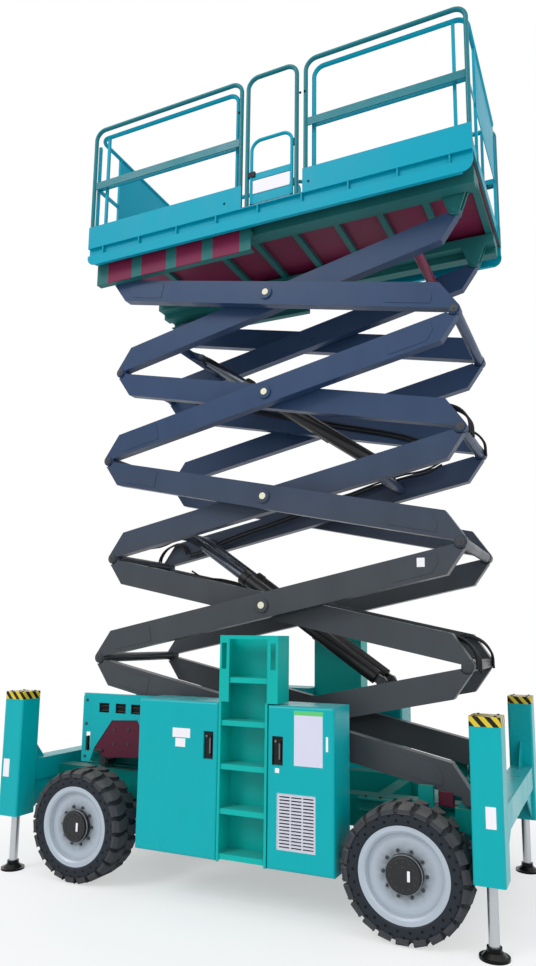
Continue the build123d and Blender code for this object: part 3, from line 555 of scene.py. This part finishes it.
def add_rod(bm, centre, axis, radius, depth, segments=20, bevel=0.0):
    """Round bar about its centre, the edges of its ends broken where a bevel is given."""
    turned = Vector((0, 0, 1)).rotation_difference(Vector(axis)).to_matrix().to_4x4()
    made = bmesh.ops.create_cone(bm, cap_ends=True, segments=segments, radius1=radius,
                                 radius2=radius, depth=depth,
                                 matrix=Matrix.Translation(centre) @ turned)["verts"]
    if bevel:
        rims = list({edge for vert in made for edge in vert.link_edges
                     if any(len(face.verts) > 4 for face in edge.link_faces)})
        break_edges(bm, rims, bevel)


print("shapes: a box and a round bar")


# %% From a mesh or a curve to a piece
def piece(name, bm, material, body):
    """Finished object from the mesh, riding on a body."""
    bmesh.ops.recalc_face_normals(bm, faces=bm.faces)
    mesh = bpy.data.meshes.new(name)
    bm.to_mesh(mesh)
    bm.free()
    mesh.materials.append(material)
    thing = bpy.data.objects.new(name, mesh)
    scene.collection.objects.link(thing)
    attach(thing, body)
    return thing


def hose(name, points, radius, body):
    """Bent hose through a few points: a curve with a round bevel, turned into a mesh."""
    curve = bpy.data.curves.new(name, "CURVE")
    curve.dimensions = "3D"
    curve.bevel_depth = radius
    curve.bevel_resolution = 3
    curve.resolution_u = 8
    curve.use_fill_caps = True
    spline = curve.splines.new("BEZIER")
    spline.bezier_points.add(len(points) - 1)
    for point, place in zip(spline.bezier_points, points):
        point.co = place
        point.handle_left_type = point.handle_right_type = "AUTO"
    shape = bpy.data.objects.new(name, curve)
    scene.collection.objects.link(shape)
    mesh = bpy.data.meshes.new_from_object(shape)
    bpy.data.objects.remove(shape)
    mesh.materials.clear()
    mesh.materials.append(extra["hose"])
    thing = bpy.data.objects.new(name, mesh)
    scene.collection.objects.link(thing)
    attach(thing, body)


print("tools ready")

# %% [markdown]
# ## Tyres
# A solid rubber tyre has a smooth carcass and two rings of thick blocks whose outer ends slope
# down to the sidewall. The carcass is a profile spun about the axle. One block is a cube, cut into
# slices along its length and then wrapped round the tyre with a slight sweep. It is copied round
# both halves, half a pitch apart, as the moulded rings of the solid tyre are. Near-black discs paint
# the shade inside the dimples that ring the sidewall.

# %% Tyre sizes from the solid
GROUND_GAP = 0.0005     # keeps the tread just inside the tyre's solid
LUG_DEPTH = 0.026
LUGS = 22
PITCH = 2 * math.pi / LUGS
tyre_low, tyre_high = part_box("tyre_left_near")
rim_low, rim_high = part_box("rim_left_near")
TYRE_R = joints["wheel_left_near_spin"]["pos_m"][2] - GROUND_GAP
HALF_TYRE = (tyre_high.y - tyre_low.y) / 2
RIM_R = (rim_high.z - rim_low.z) / 2
ROOT_R = TYRE_R - LUG_DEPTH
print("tyre radius", round(TYRE_R, 3), "half width", round(HALF_TYRE, 3), "rim radius",
      round(RIM_R, 3))

# %% One tread block
FILL = 0.70             # share of the pitch that a block takes
SWEEP = 0.055           # how far a block bends back round the tyre, in radians
FLARE = 1.14            # how much wider its foot is than its top
TAPER = 0.22            # how much narrower its inner end is
SHOULDER, RUN_OUT = 0.80, 0.20      # where the outer end starts to slope, and for how long
DROP = 0.024            # how deep it slopes


def tread_block(side):
    """Block of one half of the tread, at the top of a wheel at the origin."""
    bm = bmesh.new()
    bmesh.ops.create_cube(bm, size=1.0)
    along = [edge for edge in bm.edges if abs(edge.verts[0].co.y - edge.verts[1].co.y) > 0.5]
    bmesh.ops.subdivide_edges(bm, edges=along, cuts=5)
    for vert in bm.verts:
        x, reach, z = vert.co.x, vert.co.y + 0.5, vert.co.z
        flank = 1.0 if z > 0 else FLARE
        turn = (x * FILL * PITCH * flank * (1.0 - TAPER * (1 - reach))
                + SWEEP * math.sin(reach * 2.6))
        slope = max(0.0, reach - SHOULDER) / RUN_OUT
        radius = TYRE_R - DROP * slope**1.6 if z > 0 else ROOT_R - 0.03
        vert.co = (radius * math.sin(turn), side * (0.004 + reach * (HALF_TYRE - 0.006)),
                   radius * math.cos(turn))
    tops = [edge for edge in bm.edges if all(vert.co.length > ROOT_R - 0.012 for vert in edge.verts)
            and len(edge.link_faces) == 2 and edge.calc_face_angle(0) > 0.6]
    break_edges(bm, tops, 0.0035, segments=1)
    for vert in bm.verts:       # the bevel pushes a few corners out, so they are drawn back in
        shrink = min(1.0, TYRE_R / math.hypot(vert.co.x, vert.co.z))
        vert.co = (vert.co.x * shrink, vert.co.y, vert.co.z * shrink)
    mesh = bpy.data.meshes.new("tread_block")
    bm.to_mesh(mesh)
    bm.free()
    return mesh


blocks = {side: tread_block(side) for side in SIDES}
print("a tread block has", len(blocks[1].polygons), "faces")

# %% Carcass by spinning a profile
# Each corner of half the profile: its distance in from the side of the tyre, and its radius.
SECTION = ((0.012, RIM_R - 0.001), (0.004, RIM_R + 0.012), (0.001, RIM_R + 0.030),
           (0.004, RIM_R + 0.075), (0.012, ROOT_R - 0.020), (0.026, ROOT_R - 0.005),
           (0.060, ROOT_R))


def add_carcass(bm):
    """Closed ring of rubber about the Y axis."""
    profile = [(inset - HALF_TYRE, radius) for inset, radius in SECTION]
    profile += [(-y, radius) for y, radius in reversed(profile)]
    ring = [bm.verts.new((0, y, radius)) for y, radius in profile]
    edges = [bm.edges.new(pair) for pair in zip(ring, ring[1:] + ring[:1])]
    bmesh.ops.spin(bm, geom=ring + edges, cent=(0, 0, 0), axis=(0, 1, 0), angle=2 * math.pi,
                   steps=88, use_merge=True)


print("the carcass has", 2 * len(SECTION), "corners in its profile")

# %% Four tyres
DIMPLES = 26            # in each ring
DIMPLE_SIDES = 10       # no other face of the tyre has ten sides
TREAD_INDEX, DIMPLE_SHADE_INDEX = 1, 2       # materials of the tyre, after its rubber


def dress_tyre(corner):
    """Treaded tyre in place of a wheel's plain one; gives its number of faces."""
    centre = Vector(joints[f"wheel_{corner}_spin"]["pos_m"])
    outside = outward(corner)
    bm = bmesh.new()
    add_carcass(bm)
    for side in SIDES:
        phase = 0 if side == outside else PITCH / 2
        for i in range(LUGS):
            start = len(bm.verts)
            bm.from_mesh(blocks[side])
            bm.verts.ensure_lookup_table()
            for face in {face for vert in bm.verts[start:] for face in vert.link_faces}:
                face.material_index = TREAD_INDEX
            bmesh.ops.rotate(bm, verts=bm.verts[start:], cent=(0, 0, 0),
                             matrix=Matrix.Rotation(i * PITCH + phase, 3, "Y"))
    # dimples: near-black discs that paint the shade in the sidewall's hollows
    for ring, radius, phase in ((RIM_R + 0.036, 0.0105, 0), (RIM_R + 0.072, 0.0095, 0.5)):
        for i in range(DIMPLES):
            turn = 2 * math.pi * (i + phase) / DIMPLES
            place = (ring * math.cos(turn), outside * (HALF_TYRE - 0.0055), ring * math.sin(turn))
            add_rod(bm, place, (0, outside, 0), radius, 0.010, DIMPLE_SIDES)
    bmesh.ops.translate(bm, verts=bm.verts, vec=centre)
    thing = piece("treaded_tyre_" + corner, bm, palette["tyre"], "wheel_" + corner)
    thing.data.materials.append(extra["tread"])
    thing.data.materials.append(extra["dark"])
    for face in thing.data.polygons:
        if len(face.vertices) == DIMPLE_SIDES:
            face.material_index = DIMPLE_SHADE_INDEX
    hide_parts("tyre_" + corner)
    return len(thing.data.polygons)


print("tyre faces:", [dress_tyre(corner) for corner in CORNERS])

# %% [markdown]
# ## Hubs
# The wheel disc is held to its hub by a ring of nuts. The black hub drum stands out to the plane
# of the rim and ends in a bolted cover, so it is three round bars of falling size, one on the
# other. Nuts on their washers and the bolts of the cover stand in rings about the axle.

# %% Hubs, nuts and cover bolts
# Each bar of the drum: how far back its middle lies, its radius, depth, sides and bevel.
DRUM = ((0.039, 0.1385, 0.054, 48, 0.010), (0.006, 0.1215, 0.014, 48, 0.004),
        (0.001, 0.062, 0.010, 32, 0.003))
# Each ring: how many, its radius, how far back, then the radius, depth and sides of one bar.
RINGS = {"cover bolts": (12, 0.095, 0.000, 0.0075, 0.012, 6),
         "nuts": (10, 0.160, 0.053, 0.0135, 0.022, 6),
         "washers": (10, 0.160, 0.0605, 0.0195, 0.004, 20)}


def dress_hub(corner):
    """Drum, nuts and blank plate of one wheel."""
    x, face, z = rim_face(corner)
    side = outward(corner)
    body, out = "wheel_" + corner, (0, side, 0)
    drum, bolts, mark = bmesh.new(), bmesh.new(), bmesh.new()
    for back, radius, depth, segments, bevel in DRUM:
        add_rod(drum, (x, face - side * back, z), out, radius, depth, segments, bevel)
    piece("hub_drum_" + corner, drum, palette["black_paint"], body)
    for count, ring, back, radius, depth, segments in RINGS.values():
        for i in range(count):
            turn = 2 * math.pi * i / count
            place = (x + ring * math.cos(turn), face - side * back, z + ring * math.sin(turn))
            add_rod(bolts, place, out, radius, depth, segments)
    piece("hub_bolts_" + corner, bolts, extra["bolt"], body)
    add_box(mark, (x + 0.030, face - 0.007, z - 0.036), (x + 0.050, face + 0.007, z + 0.036),
            0.001)
    piece("hub_plate_" + corner, mark, extra["label"], body)


for corner in CORNERS:
    dress_hub(corner)
print("hubs dressed, each with", sum(ring[0] for ring in RINGS.values()), "small bars")

# %% [markdown]
# ## Scissor pins
# A centre pin ends in a pale round cap outside each outer arm. The end pins are kept by darker
# caps with one bolt each, which ride on the arm that carries the pin. A cap is a low round bar
# with a soft edge.

# %% Centre pin caps
def stage_centre(stage):
    """Middle of a stage in the (x, z) plane: the stages are one pin spacing apart."""
    x, z = pin("centre_pins_1")
    rise = pin("outer_pins_1_2")[1] - pin("lift")[1]
    return x, z + (stage - 1) * rise


for stage in STAGES:
    x, z = stage_centre(stage)
    bm = bmesh.new()
    for side in SIDES:
        add_rod(bm, (x, side * (OUTER_FACE + 0.019), z), (0, side, 0), 0.031, 0.010, 28, 0.003)
    piece(f"centre_cap_{stage}", bm, extra["cream"], f"outer_frame_{stage}")
print("centre caps on", len(STAGES), "stages")

# %% End pin caps
ENDS = [(f"{kind}_pins_{low}_{low + 1}", f"{kind}_frame_{low + 1}", face)
        for kind, face in (("outer", OUTER_FACE), ("inner", INNER_FACE)) for low in STAGES[:-1]]
for name, body, face in ENDS:
    x, z = pin(name)
    bm = bmesh.new()
    for side in SIDES:
        add_rod(bm, (x, side * (face + 0.0145), z), (0, side, 0), 0.034, 0.005, 28, 0.0015)
        add_rod(bm, (x, side * (face + 0.019), z), (0, side, 0), 0.012, 0.006, 6)
    piece(name + "_caps", bm, extra["bolt"], body)
print(len(ENDS), "pairs of end caps")

# %% [markdown]
# ## Hoses on the arms
# Oil and wiring climb the stack along the inside of the inner arms. Each hose is clipped to its
# arm and leaves a little slack at the ends, so that no hose has to bend where two arms turn on
# each other. The slack hangs in short loops beside the lower pin. A hose is a smooth curve through
# a few points, each given by its place along the arm, which keeps it on the arm at every height.

# %% Points beside an inner arm
def arm_line(stage):
    """Lower and upper pin of an inner arm in the (x, z) plane, from the middle of its stage."""
    x, z = stage_centre(stage)
    reach = abs(pin("outer_pins_1_2")[0] - x)
    half = (pin("outer_pins_1_2")[1] - pin("lift")[1]) / 2
    sign = 1 if stage % 2 == 1 else -1
    return Vector((x - sign * reach, 0, z - half)), Vector((x + sign * reach, 0, z + half))


def along_arm(stage, share, across, rise):
    """Point beside an arm: a share of its length, a place across and a height above it."""
    low, high = arm_line(stage)
    spot = low.lerp(high, share)
    return Vector((spot.x, across, spot.z + rise))


print("the middle arm rises from", arm_line(3)[0], "to", arm_line(3)[1])

# %% Hose runs
HOSE_STAGES = (2, 3, 4)
INSIDE = INNER_Y - ARM_T / 2 - 0.018
STAGE_STEP = 0.038      # the middle stage's hoses run further in, to fold past their neighbours
LANES = ((0.020, 0.013), (0.055, 0.010))        # height above the arm's middle and hose radius
# Each point of a run: its share of the arm, how far inwards it bends and how far it lifts.
RUN = ((0.10, 0, -0.01), (0.14, 0.010, -0.03), (0.22, 0, 0), (0.40, 0, 0), (0.60, 0, 0),
       (0.78, 0, 0), (0.86, 0.012, -0.04), (0.90, 0, -0.01))
for stage in HOSE_STAGES:
    across = INSIDE - STAGE_STEP * (stage % 2)
    for side, side_name in SIDES.items():
        for number, (lane, radius) in enumerate(LANES, 1):
            points = [along_arm(stage, share, side * (across - inwards), lane + lift)
                      for share, inwards, lift in RUN]
            hose(f"hose_{stage}_{side_name}_{number}", points, radius, f"inner_frame_{stage}")
print(len(HOSE_STAGES) * len(SIDES) * len(LANES), "hoses")

# %% Slack loops where the hoses pass a pin
SLACK = ((0.088, 0.06), (0.070, 0.17), (0.030, 0.21), (-0.010, 0.13), (-0.016, -0.01))
LOOPS = {-1: 3, 1: 2}   # how many hang on each side
for stage in HOSE_STAGES:
    for side, side_name in SIDES.items():
        for lane in range(LOOPS[side]):
            across = side * (INSIDE - 0.012 - 0.026 * lane)
            points = [along_arm(stage, share - 0.003 * lane, across, rise - 0.012 * lane)
                      for share, rise in SLACK]
            hose(f"slack_loop_{stage}_{side_name}_{lane + 1}", points, 0.011,
                 f"inner_frame_{stage}")
print(len(HOSE_STAGES) * sum(LOOPS.values()), "slack loops hung")

# %% [markdown]
# ## Doors, cabinets and a plate on the stack
# A small blank plate is fixed to the near arm of the second stage. On the doors, the latch handle
# lies in its dark pocket, just below the face of the door, with a round lock above it. Every
# plate, sheet and sticker is blank.

# %% Blank plate on the second stage
plate = bmesh.new()
add_box(plate, (1.585, -OUTER_FACE - 0.0052, 2.710), (1.650, -OUTER_FACE + 0.001, 2.785), 0.001)
piece("arm_plate", plate, extra["label"], "outer_frame_2")
print("blank plate on the second stage")

# %% Latch handles
HANDLES = {"door_right_near": 0.100, "door_left_near": 0.698}      # from the door's left edge
HANDLE_WIDTH, HANDLE_FOOT, HANDLE_TOP, LOCK_HEIGHT = 0.012, 0.815, 0.935, 0.950
for name, x0 in HANDLES.items():
    low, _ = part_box(name)
    bm = bmesh.new()
    add_box(bm, (low.x + x0, low.y + 0.0005, low.z + HANDLE_FOOT),
            (low.x + x0 + HANDLE_WIDTH, low.y + 0.006, low.z + HANDLE_TOP), 0.002)
    add_rod(bm, (low.x + x0 - 0.030, low.y + 0.010, low.z + LOCK_HEIGHT), (0, -1, 0), 0.010, 0.012,
            bevel=0.002)
    piece(name + "_latch", bm, extra["handle"], name)
print(len(HANDLES), "latches in")

# %% [markdown]
# ## Outriggers
# The near faces of the two near outriggers carry blank plates, and bolts hold each cap. The plates
# are thin boxes that lie a millimetre proud of the face, as riveted tin does.

# %% Blank plates and cap bolts
# Each plate: its ends along the machine, its foot and its top.
PLATES = ((house_high.x - 0.120, house_high.x - 0.050, 0.860, 1.005),
          (house_low.x + 0.035, house_low.x + 0.105, 0.830, 0.990))
plates, bolts = bmesh.new(), bmesh.new()
for x0, x1, z0, z1 in PLATES:
    add_box(plates, (x0, house_low.y - 0.0012, z0), (x1, house_low.y + 0.001, z1), 0.0004)
piece("outrigger_plates", plates, extra["label"], "chassis")
for sx in SIDES:
    for sy in SIDES:
        cap_x, cap_y = sx * (house_high.x - 0.110), sy * (house_high.y - 0.120)
        for dx, dy in ((-0.07, -0.08), (0.07, -0.08), (-0.07, 0.08), (0.07, 0.08)):
            add_rod(bolts, (cap_x + dx, cap_y + dy, house_high.z + 0.003), (0, 0, 1), 0.011,
                    0.008, 6)
piece("outrigger_cap_bolts", bolts, extra["bolt"], "chassis")
print("outriggers dressed with", len(PLATES), "plates")

# %% [markdown]
# ## Chassis fittings
# Behind the side plate a dark hook and a few bolts hold the slide guide, and black hoses cross
# behind its windows, stacked so close that they paint the shade inside the chassis. A red stop
# block and small bolts sit on the flange above the right-hand wheels. Both sides are alike, so one
# loop makes each of them.

# %% Fittings on the chassis
GUARD_BOLTS = ((-1.625, 1.52), (-0.83, 1.52), (-1.625, 1.30), (-1.625, 1.00), (-0.83, 1.08))
GUIDE_BOLTS = ((-1.30, 1.26), (-1.14, 1.27), (-1.14, 1.14), (-1.30, 1.13))
FLANGE_BOLTS = (1.12, 1.24, 1.36, 1.48)
FLANGE_Y, STOP_Y, STOP_HALF = 0.632, 0.660, 0.028
guard_low, guard_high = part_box("side_guards")
guide_low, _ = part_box("slide_guides")
bolts, hooks, stops = bmesh.new(), bmesh.new(), bmesh.new()
for side in SIDES:
    face, out = side * abs(guard_low.y), (0, side, 0)
    for x, z in GUARD_BOLTS:
        add_rod(bolts, (x, face + side * 0.004, z), out, 0.013, 0.010, 6)
    for x, z in GUIDE_BOLTS:
        add_rod(bolts, (x, side * abs(guide_low.y), z), out, 0.014, 0.012, 6)
    for x in FLANGE_BOLTS:
        add_rod(bolts, (x, side * FLANGE_Y, 0.878), (0, 0, 1), 0.011, 0.014, 6)
    add_box(hooks, (-1.605, face - 0.02, 1.06), (-1.59, face + 0.02, 1.19), 0.004)
    y0, y1 = sorted((face + side * 0.01, face - side * 0.02))
    add_box(hooks, (-1.52, y0, 1.055), (-1.42, y1, 1.075), 0.003)
    add_box(stops, (1.715, side * STOP_Y - STOP_HALF, 0.872),
            (1.830, side * STOP_Y + STOP_HALF, 0.985), 0.006)
piece("chassis_bolts", bolts, extra["bolt"], "chassis")
piece("guard_hooks", hooks, palette["black_paint"], "chassis")
piece("stop_blocks", stops, palette["red_primer"], "chassis")
print("bolts, hooks and stop blocks on")

# %% Hoses behind the windows of the side plates, stacked close as painted shade
ROWS = 7
FIRST_ROW, ROW_STEP = 0.424, 0.0215     # height above the plate's foot, and between rows
# The black hoses overlap into a dark wall that paints the shade inside the chassis behind each window.
for side, side_name in SIDES.items():
    for row in range(ROWS):
        z = guard_low.z + FIRST_ROW + ROW_STEP * row
        y = side * (abs(guard_low.y) - 0.026 - 0.012 * (row % 2))
        points = [(guard_low.x + 0.09, y - side * 0.004, z - 0.03), (guard_low.x + 0.17, y, z),
                  (guard_low.x + 0.50, y, z + 0.004), (guard_high.x - 0.02, y, z)]
        hose(f"window_shade_hose_{side_name}_{row + 1}", points, 0.012, "chassis")
print("chassis fittings on, with", ROWS, "hoses behind each plate")

# %% [markdown]
# ## Platform fittings
# Rail sections are pinned to their posts, the gate hangs on two hinges and closes on a black
# latch, and a blank plate hangs on its kick board. Another hangs on the rail at the slide end.

# %% Gate latch, hinges and blank plate
gate_low, gate_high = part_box("entry_gate")
gate_y = (gate_low.y + gate_high.y) / 2
latch, plate, hinges = bmesh.new(), bmesh.new(), bmesh.new()
add_box(latch, (gate_low.x - 0.012, gate_y - 0.020, gate_low.z + 0.272),
        (gate_low.x + 0.060, gate_y + 0.012, gate_low.z + 0.330), 0.006)
piece("gate_latch", latch, palette["black_plastic"], "gate")
add_box(plate, (gate_low.x + 0.035, gate_low.y + 0.0065, gate_low.z + 0.100),
        (gate_high.x - 0.035, gate_low.y + 0.0115, gate_low.z + 0.235), 0.001)
piece("gate_blank_plate", plate, extra["label"], "gate")
for z in (gate_low.z + 0.12, gate_high.z - 0.14):
    add_rod(hinges, (gate_high.x + 0.006, gate_y, z), (0, 0, 1), 0.011, 0.070, 16, 0.003)
piece("gate_hinges", hinges, extra["bolt"], "gate")
print("gate fitted, its middle at", round(gate_y, 3))

# %% Bolts on rails and toe boards
rail_low, rail_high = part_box("guard_rails")
side_low, side_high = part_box("platform_sides")
bm = bmesh.new()
for side in SIDES:
    for x in (-0.180, 0.696):
        add_rod(bm, (x, side * side_high.y - side * 0.004, side_low.z + 0.290), (0, side, 0), 0.016,
                0.006, bevel=0.002)
    for x in (-0.040, 0.610, 0.655):
        add_rod(bm, (x, side * (rail_high.y + 0.001), rail_high.z - 0.360), (0, side, 0), 0.012,
                0.008, 6)
piece("rail_pins", bm, extra["dark"], "platform")
print("rail pins on")

# %% Blank plate at the slide end
ext_low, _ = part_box("extension_deck_left")
bm = bmesh.new()
add_box(bm, (ext_low.x + 0.004, -0.415, rail_low.z + 0.46),
        (ext_low.x + 0.010, -0.250, rail_low.z + 0.74), 0.002)
piece("end_blank_plate", bm, extra["label"], "extension_left")
print("platform dressed")

# %% [markdown]
# ## Camera
# The camera stands low and close at one corner, so the tall stack of arms runs away upwards. A
# small sideways and upward shift of the lens keeps the uprights upright.

# %% Camera
LENS = 27.1             # millimetres, on a picture 36 mm high
EYE = (3.000, -6.525, 2.133)
HEADING, TILT, ROLL = 24.94, 98.97, 0.63        # degrees
camera = bpy.data.objects.new("camera", bpy.data.cameras.new("camera"))
camera.data.sensor_width = 36.0
camera.data.lens = LENS
camera.data.shift_x = -0.0044
camera.data.shift_y = 0.0410
camera.data.clip_end = 200.0
camera.matrix_world = (Matrix.Translation(EYE) @ Matrix.Rotation(math.radians(HEADING), 4, "Z")
                       @ Matrix.Rotation(math.radians(TILT), 4, "X")
                       @ Matrix.Rotation(math.radians(ROLL), 4, "Z"))
scene.collection.objects.link(camera)
scene.camera = camera
print("camera at", tuple(round(v, 3) for v in camera.location))

# %% [markdown]
# ## Floor and world
# A plain pale floor catches a soft shadow. Far from the machine it turns to pure white where the
# camera sees it, so that it meets the white world without a line. The light that floor and world
# give to the machine keeps its own softer level, because a white that bright would wash the paints
# out.

# %% Helpers for what the camera alone sees
def seen_directly(tree):
    """One for rays from the camera, also by way of gloss or glass, and zero for scattered light."""
    path = add_node(tree, "ShaderNodeLightPath").outputs
    seen = calc(tree, "MAXIMUM", path["Is Camera Ray"], path["Is Glossy Ray"])
    return calc(tree, "MAXIMUM", seen, path["Is Transmission Ray"])


def blend_shaders(tree, share, first, second, end):
    """Mix two shaders by a share and hand the result to the tree's end node."""
    blend = add_node(tree, "ShaderNodeMixShader")
    for socket, value in zip(blend.inputs, (share, first.outputs[0], second.outputs[0])):
        feed(tree, socket, value)
    feed(tree, tree.nodes[end].inputs["Surface"], blend.outputs[0])


print("helpers for floor and world ready")

# %% Floor
PALE = (0.93, 0.93, 0.93, 1)
PURE_WHITE = (1, 1, 1, 1)
floor_mesh = bmesh.new()
bmesh.ops.create_circle(floor_mesh, cap_ends=True, segments=96, radius=60.0)
floor_data = bpy.data.meshes.new("floor")
floor_mesh.to_mesh(floor_data)
floor_mesh.free()
floor = bpy.data.objects.new("floor", floor_data)
scene.collection.objects.link(floor)

floor_paint = bpy.data.materials.new("pale floor")
floor_paint.use_nodes = True
tree = floor_paint.node_tree
shader = tree.nodes["Principled BSDF"]
shader.inputs["Base Color"].default_value = PALE
shader.inputs["Roughness"].default_value = 0.9
bright = add_node(tree, "ShaderNodeEmission", [("Color", PURE_WHITE)])
reach = calc(tree, "LENGTH", object_place(tree), kind=VECTOR, output="Value")
share = calc(tree, "MULTIPLY", ramp(tree, reach, 1.0, 5.0, first=0.45), seen_directly(tree))
blend_shaders(tree, share, shader, bright, "Material Output")
floor_data.materials.append(floor_paint)
print("floor laid, white from 5 m out")

# %% World
SKY = (0.92, 0.95, 1.0, 1)
SKY_STRENGTH = 0.62
world = bpy.data.worlds.new("studio")
scene.world = world
world.use_nodes = True
tree = world.node_tree
soft = tree.nodes["Background"]
soft.inputs["Color"].default_value = SKY
soft.inputs["Strength"].default_value = SKY_STRENGTH
white = add_node(tree, "ShaderNodeBackground", [("Color", PURE_WHITE), ("Strength", 1.0)])
blend_shaders(tree, seen_directly(tree), soft, white, "World Output")
print("world lights the machine at", SKY_STRENGTH)

# %% [markdown]
# ## Lamps
# Two wide soft lamps model the shapes. Their shadows blur quickly with distance, as under a bright
# overcast sky, and they are kept at a level where a paint shows about as it was mixed.

# %% Lamps
# Each lamp: heading and tilt in degrees, strength, and how wide it is in degrees.
LAMPS = {"key": (-30, 50, 1.2, 25), "fill": (58, 62, 0.8, 60)}
for name, (turn, tilt, strength, spread) in LAMPS.items():
    lamp = bpy.data.objects.new(name, bpy.data.lights.new(name, "SUN"))
    lamp.data.energy = strength
    lamp.data.angle = math.radians(spread)
    lamp.rotation_euler = (math.radians(tilt), 0, math.radians(turn))
    scene.collection.objects.link(lamp)
